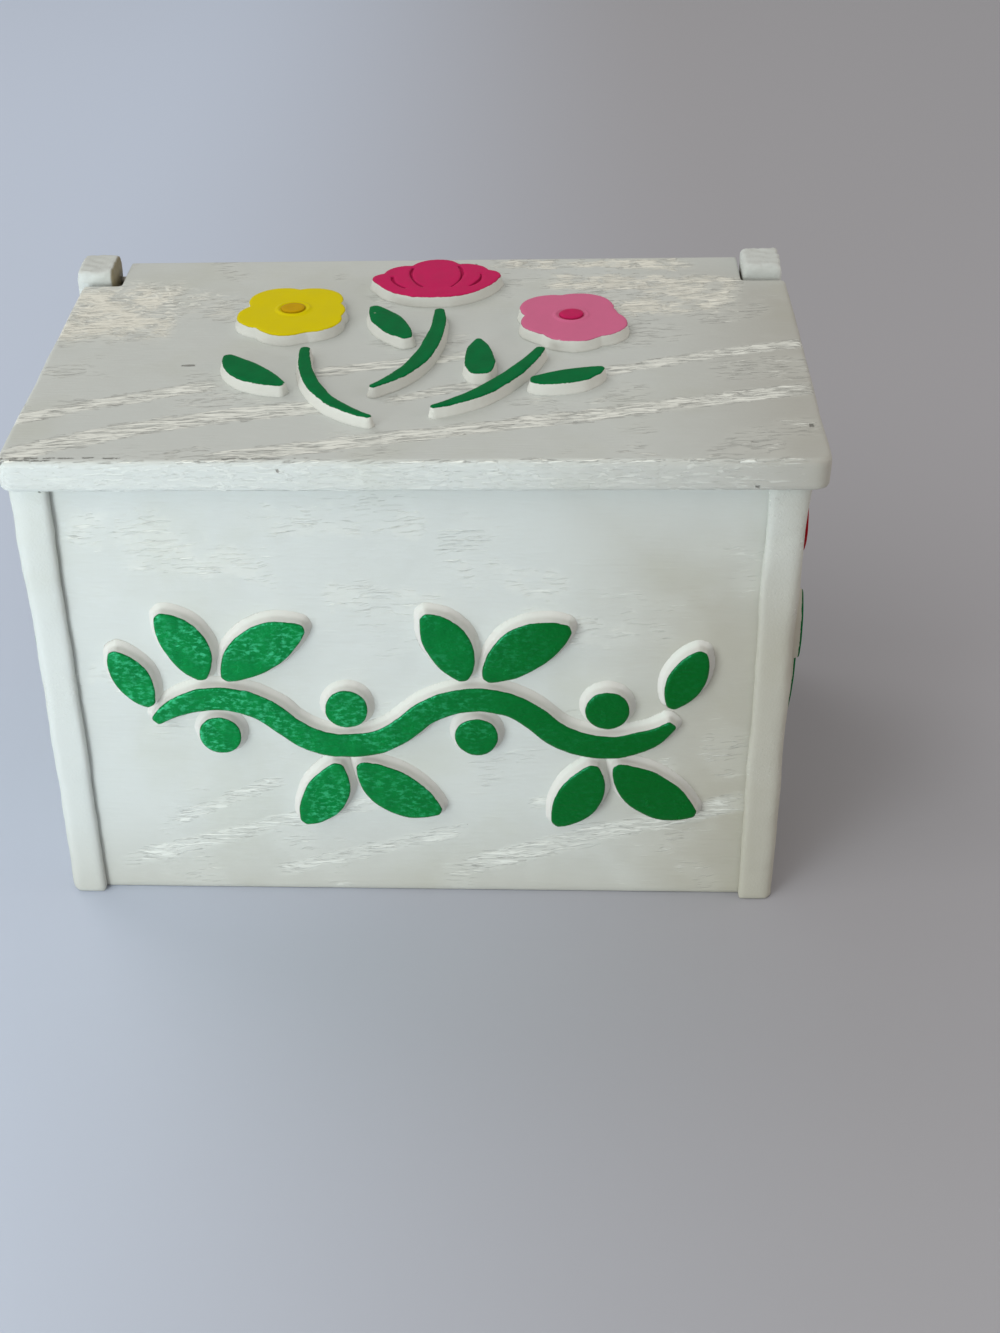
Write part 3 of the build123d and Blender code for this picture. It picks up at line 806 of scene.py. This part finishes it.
# the bare brown of the right gap also stands in for the shade in that narrow gap
right_gap_bare_and_shaded = ((68.4, gap_row, notch_height), (0.9, 8.0, 4.2), 0.8)
lid_underside = ((lid_low.x + lid_high.x) / 2, 1.0, lid_low.z - 0.9)
box_bare = [(cavity_middle, cavity_half, 1.4), ear_gap, right_gap_bare_and_shaded]
lid_bare = [(lid_underside, (71.5, 45.0, 6.0), 1.6), left_gap, right_gap_bare_and_shaded]
# painted shade on the body: towards its right, towards its foot, and under the lid's right end
body_shade_blocks = [
    ((92.0, -40.0, 14.0), (72.0, 60.0, 92.0), 0.0),
    ((0.0, 0.0, -10.0), (200.0, 200.0, 38.0), 0.0),
    ((92.0, -50.0, 100.0), (42.0, 26.0, 34.0), 0.0),
]
# painted shade on the lid's right end, and on the front of its lip there
lid_end_shade_blocks = [((100.0, -30.0, 80.0), (62.0, 90.0, 60.0), 0.0)]
shaded_lip_end = [((100.0, -50.0, 100.0), (82.0, 40.0, 40.0), 0.0)]
all_shade_blocks = body_shade_blocks + lid_end_shade_blocks + shaded_lip_end
print("bare blocks:", len(box_bare) + len(lid_bare), "soiled blocks:", len(all_shade_blocks))

# %% [markdown]
# ## The white paints
# Each panel gets the same coat with its own layout. The front is the smoothest of them, for the
# moulder kept it plain behind the ornament, so its grain has the least contrast.

# %% White paints
x_axis, y_axis, z_axis = range(3)
lid_paint = white_paint(
    "lid_paint", x_axis, y_axis, lid_bands, lid_patches, lid_bare, lid_cracks, lid_marks,
    lid_nets, lid_scratches, lid_end_shade_blocks, lid_end_shade_tint, shaded_lip_end,
)
front_paint = white_paint(
    "front_paint", x_axis, z_axis, front_bands, front_patches, box_bare, shaded=body_shade_blocks,
    fibre_tilt=4.0, haze=0.25, contrast=0.45,
)
side_paint = white_paint(
    "side_paint", y_axis, z_axis, side_bands, bare=box_bare, marks=side_marks,
    shaded=body_shade_blocks, fibre_tilt=4.0, contrast=0.55,
)
back_paint = white_paint(
    "back_paint", x_axis, z_axis, back_bands, bare=box_bare, fibre_tilt=5.0, contrast=0.6
)
bottom_paint = white_paint("bottom_paint", x_axis, y_axis, bottom_bands, bare=box_bare)
print("nodes in the lid's paint:", len(lid_paint.node_tree.nodes))

# %% [markdown]
# ## Finer copies of the solids
# The solids are exact and sharp, and moulded edges are not. A Bevel modifier could round them,
# but it leaves the long thin faces that a CAD mesh has, which can't be made uneven. The Remesh
# modifier covers each piece with an even skin of small squares, whose points can be moved.


# %% A fine copy and its points
def fine_copy(node, square):
    """The solid's shape as a new mesh of squares of that size, in millimetres."""
    twin = bpy.data.objects.new(node + "_twin", frame["nodes"][node].data.copy())
    bpy.context.scene.collection.objects.link(twin)
    remesh = twin.modifiers.new("skin", "REMESH")
    remesh.mode = "VOXEL"
    remesh.voxel_size = square * mm
    seen = twin.evaluated_get(bpy.context.evaluated_depsgraph_get())
    skinned = bpy.data.meshes.new_from_object(seen)
    bpy.data.objects.remove(twin)
    return skinned


def read_points(mesh, name):
    values = np.empty(len(mesh.vertices) * 3)
    mesh.vertices.foreach_get(name, values)
    return values.reshape(-1, 3)


def points_of(mesh):
    return read_points(mesh, "co") / mm


def normals_of(mesh):
    return read_points(mesh, "normal")


def set_points(mesh, points):
    mesh.vertices.foreach_set("co", (points * mm).ravel())
    mesh.update()


print("mesh helpers:", [helper.__name__ for helper in (fine_copy, points_of, normals_of, set_points)])

# %% [markdown]
# ## Rounding and unevenness
# Edges of a mould wear round, and a panel is never quite flat. Both could be sculpted by hand.
# Here each point moves towards the middle of its neighbours, which rounds every edge alike,
# and a sum of slow waves makes the surface waver. The waves are drawn with a seed, so they are
# the same each time.


# %% Smoothing and wavering
def smoothed(mesh, points, passes, share=0.5):
    """Each point moves part of the way to the middle of its neighbours."""
    edges = np.empty(len(mesh.edges) * 2, dtype=np.int64)
    mesh.edges.foreach_get("vertices", edges)
    first, second = edges.reshape(-1, 2).T
    count = np.bincount(first, minlength=len(points)) + np.bincount(second, minlength=len(points))
    for _ in range(passes):
        total = np.empty_like(points)
        for axis in range(3):
            total[:, axis] = np.bincount(first, points[second, axis], len(points))
            total[:, axis] += np.bincount(second, points[first, axis], len(points))
        points = points + share * (total / count[:, None] - points)
    return points


def waver(points, size, seed):
    """A smooth random field from about -1 to 1, with lumps of that size: a sum of slow waves."""
    draw = np.random.default_rng(seed)
    waves = 14
    directions = draw.normal(size=(waves, 3))
    directions /= np.linalg.norm(directions, axis=1)[:, None]
    pitches = 2 * np.pi / (size * draw.uniform(0.8, 2.2, waves))
    phases = draw.uniform(0, 2 * np.pi, waves)
    heights = np.sin(points @ (directions * pitches[:, None]).T + phases).sum(axis=1)
    return heights / math.sqrt(waves)


def rise(values, start, length):
    """0 up to the start, then rising to 1 over that length."""
    return np.clip((values - start) / length, 0, 1)


def place_piece(name, mesh, body, material, slot, node):
    """A finished mesh becomes a piece that rides on its body and stands for its solid."""
    mesh.materials.clear()
    mesh.materials.append(material)
    mesh.polygons.foreach_set("use_smooth", np.ones(len(mesh.polygons), dtype=bool))
    piece = bpy.data.objects.new(name, mesh)
    bpy.context.scene.collection.objects.link(piece)
    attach(piece, body)
    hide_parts(node)
    print(piece.name, len(mesh.polygons), "squares")


print("shape helpers:", [helper.__name__ for helper in (smoothed, waver, rise, place_piece)])

# %% [markdown]
# ## The boards of the body
# A moulded board is a little uneven, and its corners are soft. The unevenness could cover it
# all, but the pieces would then touch, so it fades out near the hinge, under the lid and on
# the table. The crown of each ear is rough where its sprue was cut off, and the front edges of
# the side boards swell a little below the lid.

# %% Making a board
board_passes = 3
hinge_clear = 9.0  # nothing is uneven this near the hinge's axis
hinge_fade, lid_fade, table_fade = 6.0, 1.5, 2.0  # lengths over which the unevenness grows
front_swell = 0.8  # how far the front edges of the side boards lean out below the lid
swell_foot, swell_height = 66.0, 30.0
swell_back, swell_inside = 38.5, 72.0  # it grows forwards and outwards from here
long_waves, short_waves = 13.0, 4.0
crown_start = 0.6  # above the lid's top
crown_lumps = 1.9  # their size, in millimetres


def make_board(node, body, material, square, depth=0.10):
    mesh = fine_copy(node, square)
    points = smoothed(mesh, points_of(mesh), board_passes)
    set_points(mesh, points)
    low, high = box_mm(node)
    from_pivot = np.linalg.norm(points[:, 1:] - np.array(pivot)[1:], axis=1)
    free = rise(from_pivot, hinge_clear, hinge_fade)
    free = free * rise(np.abs(points[:, 2] - lid_low.z), 0, lid_fade)
    free = free * rise(points[:, 2], 0, table_fade)
    seed = len(node)
    uneven = 0.75 * waver(points, long_waves, seed) + 0.25 * waver(points, short_waves, seed + 1)
    move = depth * uneven * free
    if node.endswith("side_board"):
        ear_crown = rise(points[:, 2] - lid_high.z, crown_start, 0.8)
        move = move - ear_crown * (0.16 + 0.16 * waver(points, crown_lumps, 31))
        at_front = rise(-points[:, 1], swell_back, 2.0)
        outside = rise(np.abs(points[:, 0]), swell_inside, 1.5)
        swell = front_swell * at_front * outside * rise(points[:, 2], swell_foot, swell_height)
        points = points + np.outer(swell, (math.copysign(1.0, low.x), 0, 0))
    points = points + normals_of(mesh) * move[:, None]
    set_points(mesh, np.clip(points, np.array(low), np.array(high)))
    place_piece(node + "_skin", mesh, body, material, "white_paint", node)


boards = [  # the solid, its body, its paint, the size of its squares
    ("lid", "lid", lid_paint, 0.5),
    ("front_panel", "box", front_paint, 0.7),
    ("back_panel", "box", back_paint, 0.8),
    ("bottom_panel", "box", bottom_paint, 0.8),
]
for board in boards:
    make_board(*board)
for node in ("left_side_board", "right_side_board"):
    make_board(node, "box", side_paint, 0.6, depth=0.20)

# %% [markdown]
# ## Carved grooves and rings
# The petals of the bloom are parted by grooves, and an open flower has a low ring round its
# eye. Paint fills a groove as well as the top, so points deep inside the outline are marked,
# and the enamel reads that mark. Height alone could not tell a groove from the foot of a form.

# %% Marking the inside, and a ring
panels = {  # a point on each panel that carries forms, and the way it looks
    "lid": (Vector((0, 0, lid_high.z)), Vector((0, 0, 1))),
    "front": (Vector((0, panel_low.y, 0)), Vector((0, -1, 0))),
    "right": (Vector((side_face, 0, 0)), Vector((1, 0, 0))),
    "left": (Vector((-side_face, 0, 0)), Vector((-1, 0, 0))),
}
outline_height = 0.6  # the outline is read from points lower than this
inside_gap = 0.95  # how far from the outline the inside starts
ring_height, ring_gap, ring_width = 0.26, 0.8, 0.40


def set_inside(mesh, points, height, lean, outward):
    """Marks points that are well inside the outline, such as those in a carved groove."""
    flat = points * (1 - np.abs(outward))
    outline = flat[(height < height.min() + outline_height) & (lean > 0.5)]
    tree = KDTree(len(outline))
    for index, place in enumerate(outline):
        tree.insert(place, index)
    tree.balance()
    gap = np.array([tree.find(p)[2] if h > 0.9 else 0.0 for p, h in zip(flat, height)])
    inside = mesh.attributes.new("inside", "FLOAT", "POINT")
    inside.data.foreach_set("value", rise(gap, inside_gap, 0.15))


def ring_round(points, height, outward, eye):
    """A low ring on the top of a flower, round its eye."""
    low, high = (np.array(v) for v in box_mm(eye))
    middle, radius = (low + high) / 2, (high - low).max() / 2
    away = np.linalg.norm((points - middle) * (1 - np.abs(outward)), axis=1)
    return ring_height * np.exp(-(((away - radius - ring_gap) / ring_width) ** 2)) * (height > 2.0)


print("panels with forms:", list(panels))

# %% [markdown]
# ## Carved forms
# A raised form of the mould looks carved. Its foot flares into the panel, its outline wavers,
# and its top is slightly crowned. These could be fillets in the solid, but a fillet is as even
# as the machine that cut it. So each form is a fine copy whose points are pushed sideways and
# down by small uneven amounts.

# %% Carving a form
form_passes = 6
flare_height = 1.5  # how far up the foot the flare reaches
edge_growth = 0.12  # makes up for what the smoothing takes off
seat_depth = 0.35  # how far the foot goes into the panel
eye_crown, top_crown = 0.22, 0.05  # how far the tops are worn down


def carve(node, body, panel, material, slot, square, flare, seed=0, eye=None):
    origin, outward = (np.array(v) for v in panels[panel])
    mesh = fine_copy(node, square)
    points = smoothed(mesh, points_of(mesh), form_passes)
    set_points(mesh, points)
    normals = normals_of(mesh)
    height = (points - origin) @ outward
    above_foot = height - height.min()
    sideways = normals - np.outer(normals @ outward, outward)
    lean = np.linalg.norm(sideways, axis=1)
    set_inside(mesh, points, height, lean, outward)

    sideways /= np.maximum(lean, 1e-6)[:, None]
    foot = np.clip(1 - above_foot / flare_height, 0, 1) ** 4 * flare
    edge = 0.08 * waver(points, 4.5, seed) + 0.02 * waver(points, 1.8, seed + 1) + edge_growth
    points = points + sideways * ((foot + edge) * np.clip(lean * 1.6, 0, 1))[:, None]
    top = np.clip(height / height.max() * 3 - 2, 0, 1)
    crown = eye_crown if node.endswith("eye") else top_crown
    crown = crown + 0.02 * waver(points, 5.0, seed + 2)
    seat = np.clip(1 - above_foot / seat_depth, 0, 1) * seat_depth
    ring = ring_round(points, height, outward, eye) if eye else 0.0
    points = points + np.outer(ring - top * np.clip(crown, 0, 1) - seat, outward)
    set_points(mesh, points)
    place_piece(node + "_carved", mesh, body, material, slot, node)


print("a form is smoothed", form_passes, "times")

# %% [markdown]
# ## Colours of the enamels
# Hobby enamels are strong, plain colours, and each is mixed once here and shared. The sloping
# sides of a form keep the sprayed white. On the sides of the box that white is darker with a
# painted shade, and under the vine it is pinker, since the vine's gloss would otherwise tint it
# green. The heights of the forms could be typed in, but they are measured, so that the edge of
# the paint follows the solids.

# %% Enamel colours and heights
relief_white = (0.685, 0.697, 0.655, 1)
vine_white = (0.69, 0.658, 0.634, 1)
side_shaded_white = (0.587, 0.567, 0.487, 1)
leaf_green = (0.001, 0.165, 0.045)
front_green = (0.001, 0.185, 0.032)
# painted shade for the vine's right, and painted highlights for its left
vine_shade_green = (0.0004, 0.098, 0.005, 1)
vine_glint_green = (0.045, 0.45, 0.20, 1)
yellow = (0.76, 0.64, 0.003)
ochre = (0.60, 0.36, 0.003)
pink = (0.69, 0.165, 0.31)
magenta = (0.60, 0.018, 0.12)
red = (0.42, 0.006, 0.015)

lid_raise = box_mm("lid_stems")[1].z - lid_high.z
front_raise = panel_low.y - box_mm("front_vine_stem")[0].y
side_raise = box_mm("right_side_stems")[1].x - side_face
eye_raise = box_mm("lid_yellow_flower_eye")[1].z - lid_high.z
print("forms stand proud by:", [round(r, 2) for r in (lid_raise, front_raise, side_raise, eye_raise)])

# %% [markdown]
# ## Painted light in the vine's green
# The vine's green is painted deeper and flatter at the right, as painted shade, and at the left
# it carries broken, paler streaks of painted highlight. A second material could show that, but
# it would end in a line. Here the green changes along the panel.


# %% Painted shade and highlights
def painted_vine_light(tree, position, toned, deep, glint):
    across = dot(tree, position, (1, 0, 0))
    deepened = mix_colour(tree, ramp(tree, across, -30.0, 50.0), toned, deep)
    broken = noise(tree, position, 0.9, 3.0, 0.6, stretch=(1.7, 1.0, 1.0), shift=11.0)
    glint_clusters = noise(tree, position, 9.0, 1.0, shift=3.0)
    patchy = calc(tree, "MULTIPLY", ramp(tree, broken, 0.46, 0.68), ramp(tree, glint_clusters, 0.35, 0.60))
    share = calc(tree, "MULTIPLY", patchy, ramp(tree, across, 40.0, -45.0, 0.05, 0.95))
    return mix_colour(tree, share, deepened, glint)


print("streaks run from", vine_shade_green[:3], "to", vine_glint_green[:3])

# %% [markdown]
# ## Enamels
# One function makes every enamel: colour on top, white on the sloping sides, and a painted shade
# on the rim where the top rounds over its edge. Two materials on one form would need a seam
# along the paint's edge, so the group's mask parts them instead. The gloss of a paint is the
# same all over and is set on the shader itself.

# %% Enamel materials
side_roughness = 0.5  # of the bare sloping sides


def enamel(
    name, colour, panel, top_height, edge_drop=0.24, gloss=0.34, shine=0.02, tone_spread=0.12,
    furrow=0.15, bare=relief_white, sheen=(1, 1, 1), shade_and_glints=None,
):
    material, tree, shader, position = new_material(name)
    origin, outward = (tuple(v) for v in panels[panel])
    height = dot(tree, vector_calc(tree, "SUBTRACT", position, origin), outward)
    paint = use_group(
        tree, enamel_group, Position=position, Height=height, Edge=top_height - edge_drop
    )
    inside = add(tree, "ShaderNodeAttribute", {"attribute_name": "inside"}).outputs["Fac"]
    covered = calc(tree, "MAXIMUM", paint["Mask"], inside)

    dark, light, rim_shade = (
        tuple(min(1, c * share) for c in colour) + (1,)
        for share in (1 - tone_spread, 1 + tone_spread, 0.65)
    )
    toned = mix_colour(tree, ramp(tree, paint["Tone"], 0.25, 0.75), dark, light)
    facing = dot(tree, surface_lean(tree), outward)
    # painted shade on the rim, where the top rounds over its edge
    toned = mix_colour(tree, ramp(tree, facing, 0.97, 0.75, 0.0, 0.8), toned, rim_shade)
    # painted shade on the vine's right and painted highlights on its left
    if shade_and_glints:
        toned = painted_vine_light(tree, position, toned, *shade_and_glints)
    specks = use_group(tree, speck_group, Position=position, Spacing=9.0, Size=0.20)
    toned = mix_colour(tree, calc(tree, "MULTIPLY", specks["Mask"], 0.5), toned, cream)

    brushed = ramp(tree, paint["Tone"], 0.3, 0.7, gloss - 0.05, gloss + 0.08)
    uncovered = calc(tree, "SUBTRACT", 1.0, covered)
    matt = calc(tree, "MULTIPLY", uncovered, side_roughness - gloss)
    furrows = calc(tree, "MULTIPLY", paint["Furrow"], calc(tree, "MULTIPLY", covered, furrow))
    lip = calc(tree, "MULTIPLY", covered, 0.5)
    fill(tree, shader.inputs["Base Color"], mix_colour(tree, covered, bare, toned))
    fill(tree, shader.inputs["Roughness"], calc(tree, "ADD", brushed, matt))
    fill(tree, shader.inputs["Specular IOR Level"], shine)
    fill(tree, shader.inputs["Specular Tint"], (*sheen, 1))
    fill(tree, shader.inputs["Normal"], bump(tree, calc(tree, "ADD", furrows, lip), 0.11))
    return material


print("roughness of the sloping sides:", side_roughness)

# %% [markdown]
# ## Forms on the lid
# A spray of three flowers lies on the lid: two seen from above, each with an eye, and between
# them a bloom seen from the side. They could be one mesh with many paints, but each form is a
# solid of its own here, so it is carved and painted alone. Every one has its own seed, since no
# two were cut alike.

# %% Forms on the lid
lid_square, lid_flare, eye_flare = 0.23, 0.5, 0.1
eye_drop = 0.9  # the paint of an eye goes down to the flower
lid_green = enamel("lid_green", leaf_green, "lid", lid_raise)
lid_yellow = enamel("lid_yellow", yellow, "lid", lid_raise, tone_spread=0.015)
lid_ochre = enamel("lid_ochre", ochre, "lid", eye_raise, eye_drop, tone_spread=0.08)
lid_pink = enamel("lid_pink", pink, "lid", lid_raise, tone_spread=0.02)
lid_pink_eye = enamel("lid_pink_eye", magenta, "lid", eye_raise, eye_drop)
lid_magenta = enamel("lid_magenta", magenta, "lid", lid_raise, tone_spread=0.05)
lid_forms = [
    ("lid_yellow_flower", lid_yellow, "yellow_paint"),
    ("lid_yellow_flower_eye", lid_ochre, "ochre_paint"),
    ("lid_pink_flower", lid_pink, "pink_paint"),
    ("lid_pink_flower_eye", lid_pink_eye, "magenta_paint"),
    ("lid_magenta_bloom", lid_magenta, "magenta_paint"),
    ("lid_stems", lid_green, "green_paint"),
    ("lid_leaves", lid_green, "green_paint"),
    ("lid_bud", lid_green, "green_paint"),
]
for number, (node, material, slot) in enumerate(lid_forms):
    eye = node + "_eye" if node.endswith("flower") else None
    flare = eye_flare if node.endswith("eye") else lid_flare
    carve(node, "lid", "lid", material, slot, lid_square, flare, seed=10 * number, eye=eye)

# %% [markdown]
# ## Vine on the front
# A leafy vine runs across the front, glossier than the flowers of the lid. Its gloss could be a
# clear coat, but the real paint has none: it is one wet layer of green. So its roughness is low
# and its highlights take the paint's own colour.

# %% Vine on the front
vine_green = enamel(
    "vine_green", front_green, "front", front_raise, edge_drop=0.38, gloss=0.20, shine=0.6,
    tone_spread=0.16, furrow=2.0, bare=vine_white, sheen=(0.12, 1.0, 0.6),
    shade_and_glints=(vine_shade_green, vine_glint_green),
)
vine_square, vine_flare = 0.25, 1.5
for number, node in enumerate(("front_vine_stem", "front_vine_leaves", "front_vine_buds")):
    seed = 100 + 10 * number
    carve(node, "box", "front", vine_green, "green_paint", vine_square, vine_flare, seed=seed)

# %% [markdown]
# ## Sprays on the sides
# Each side has a taller spray: a red and a magenta flower, a yellow bloom, and their stems and
# leaves. Both sides come from one mould, so one loop makes them. They are seen less, and larger
# squares will do.

# %% Sprays on the sides
side_square, side_eye_square, side_flare = 0.34, 0.30, 0.7
petal_raise = side_raise - 0.6  # the petals' tops lie lower than those of the stems
petals = {"left": (red, "red_paint"), "right": (magenta, "magenta_paint")}
for side in ("left", "right"):
    green = enamel(f"{side}_green", leaf_green, side, side_raise, 0.5, bare=side_shaded_white)
    eye_paint = enamel(f"{side}_ochre", ochre, side, side_raise, eye_drop)
    for flower, (colour, slot) in petals.items():
        node = f"{side}_side_{flower}_flower"
        paint = enamel(f"{node}_enamel", colour, side, petal_raise, 0.9, bare=side_shaded_white)
        eye = node + "_eye"
        carve(node, "box", side, paint, slot, side_square, side_flare, seed=200)
        carve(eye, "box", side, eye_paint, "ochre_paint", side_eye_square, eye_flare, seed=210)
    bloom_paint = enamel(f"{side}_bloom_enamel", yellow, side, side_raise)
    rest = [
        ("bloom", bloom_paint, "yellow_paint", 0),
        ("stems", green, "green_paint", 220),
        ("leaves", green, "green_paint", 230),
    ]
    for form, paint, slot, seed in rest:
        carve(f"{side}_side_{form}", "box", side, paint, slot, side_square, side_flare, seed)

# %% [markdown]
# ## Hinge pins
# The pins are plain drawn wire. Their solids are right as they are and could stay a plain grey,
# but steel is known by the fine lines of its drawing die. Noise stretched along the pin gives
# them.

# %% Steel
pin_steel, steel_tree, steel_shader, steel_position = new_material("pin_steel")
drawn = noise(steel_tree, steel_position, 0.12, stretch=(30.0, 1.0, 1.0))
steel_colour = mix_colour(steel_tree, drawn, (0.42, 0.41, 0.39, 1), (0.58, 0.57, 0.55, 1))
steel_roughness = ramp(steel_tree, drawn, 0.3, 0.7, 0.28, 0.42)
fill(steel_tree, steel_shader.inputs["Base Color"], steel_colour)
fill(steel_tree, steel_shader.inputs["Metallic"], 1.0)
fill(steel_tree, steel_shader.inputs["Roughness"], steel_roughness)
fill(steel_tree, steel_shader.inputs["Normal"], bump(steel_tree, drawn, 0.02))
for node in ("hinge_pin_left", "hinge_pin_right"):
    pin = frame["nodes"][node]
    pin.data.materials.clear()
    pin.data.materials.append(pin_steel)
    print(node, "is", pin.data.materials[0].name)

# %% [markdown]
# ## Floor
# The box stands on a plain pale table. It is a single large face, since the light and not the
# shape makes it look soft. Its colour holds painted light: cooler and paler at the left and
# darker at the right, as when daylight comes from the left. A second lamp could do that, but it
# would also change the box.

# %% Floor
# painted light: the floor is paler at the left and darker at the right
cool_floor, warm_floor = (0.585, 0.665, 0.815, 1), (0.405, 0.404, 0.435, 1)
cool_end, warm_end = -160.0, 100.0  # millimetres across the floor
half_floor = 6.0  # metres
floor_material, floor_tree, floor_shader, floor_position = new_material("floor")
floor_across = add(floor_tree, "ShaderNodeSeparateXYZ", Vector=floor_position).outputs[0]
painted_floor_light = ramp(floor_tree, floor_across, cool_end, warm_end)
floor_colour = mix_colour(floor_tree, painted_floor_light, cool_floor, warm_floor)
fill(floor_tree, floor_shader.inputs["Base Color"], floor_colour)
fill(floor_tree, floor_shader.inputs["Roughness"], 0.7)
floor_mesh = bpy.data.meshes.new("floor")
corners = [(x * half_floor, y * half_floor, 0) for x, y in ((-1, -1), (1, -1), (1, 1), (-1, 1))]
floor_mesh.from_pydata(corners, [], [(0, 1, 2, 3)])
floor_mesh.materials.append(floor_material)
floor = bpy.data.objects.new("floor", floor_mesh)
bpy.context.scene.collection.objects.link(floor)
print("floor:", 2 * half_floor, "m wide")

# %% [markdown]
# ## Lamps
# A cool key lamp stands low in front on the left, a larger one high behind it reaches over the
# lid, and a weak warm one fills the right. A broad sun adds the even light of a room. One strong
# lamp would give hard shadows, while large weak ones keep every colour as it was mixed.

# %% Lamps
aim = Vector((0, 0, 0.05))  # the middle of the box
lamps = [  # name, place and width in metres, watts, colour
    ("key", (-0.29, -0.46, 0.12), 0.26, 1.58, (0.90, 0.975, 0.98)),
    ("rear", (-0.55, 0.50, 0.75), 0.6, 1.74, (1.0, 0.99, 0.95)),
    ("fill", (0.50, -0.05, 0.22), 0.4, 0.45, (1.0, 0.88, 0.80)),
]


def link_lamp(name, kind, energy, colour, direction):
    data = bpy.data.lights.new(name, kind)
    data.energy = energy
    data.color = colour
    lamp = bpy.data.objects.new(name, data)
    bpy.context.scene.collection.objects.link(lamp)
    lamp.rotation_euler = direction.to_track_quat("-Z", "Y").to_euler()
    return lamp


for name, place, width, watts, colour in lamps:
    lamp = link_lamp(name, "AREA", watts, colour, aim - Vector(place))
    lamp.data.shape = "DISK"
    lamp.data.size = width
    lamp.location = place
sun = link_lamp("sun", "SUN", 0.8, (1.0, 0.99, 0.96), Vector((0.50, 0.45, -0.74)))
sun.data.angle = math.radians(50)

# %% [markdown]
# ## World
# The air of a room is bright too. What the camera sees of the world, directly or in something
# shiny, is a little paler than the light that the world gives, so that the background is pale
# and the paint doesn't wash out. The Light Path node tells the two apart.

# %% World
world_light, world_seen = 0.38, 0.45
world = bpy.data.worlds.new("world")
world.use_nodes = True
world_tree = world.node_tree
background = world_tree.nodes["Background"].inputs
fill(world_tree, background["Color"], (1.0, 0.965, 0.93, 1))
rays = world_tree.nodes.new("ShaderNodeLightPath").outputs
seen = calc(world_tree, "ADD", rays["Is Camera Ray"], rays["Is Glossy Ray"])
seen = calc(world_tree, "ADD", seen, rays["Is Transmission Ray"])
fill(world_tree, background["Strength"], ramp(world_tree, seen, 0.0, 1.0, world_light, world_seen))
bpy.context.scene.world = world
print("world:", world_light, "as light,", world_seen, "as background")
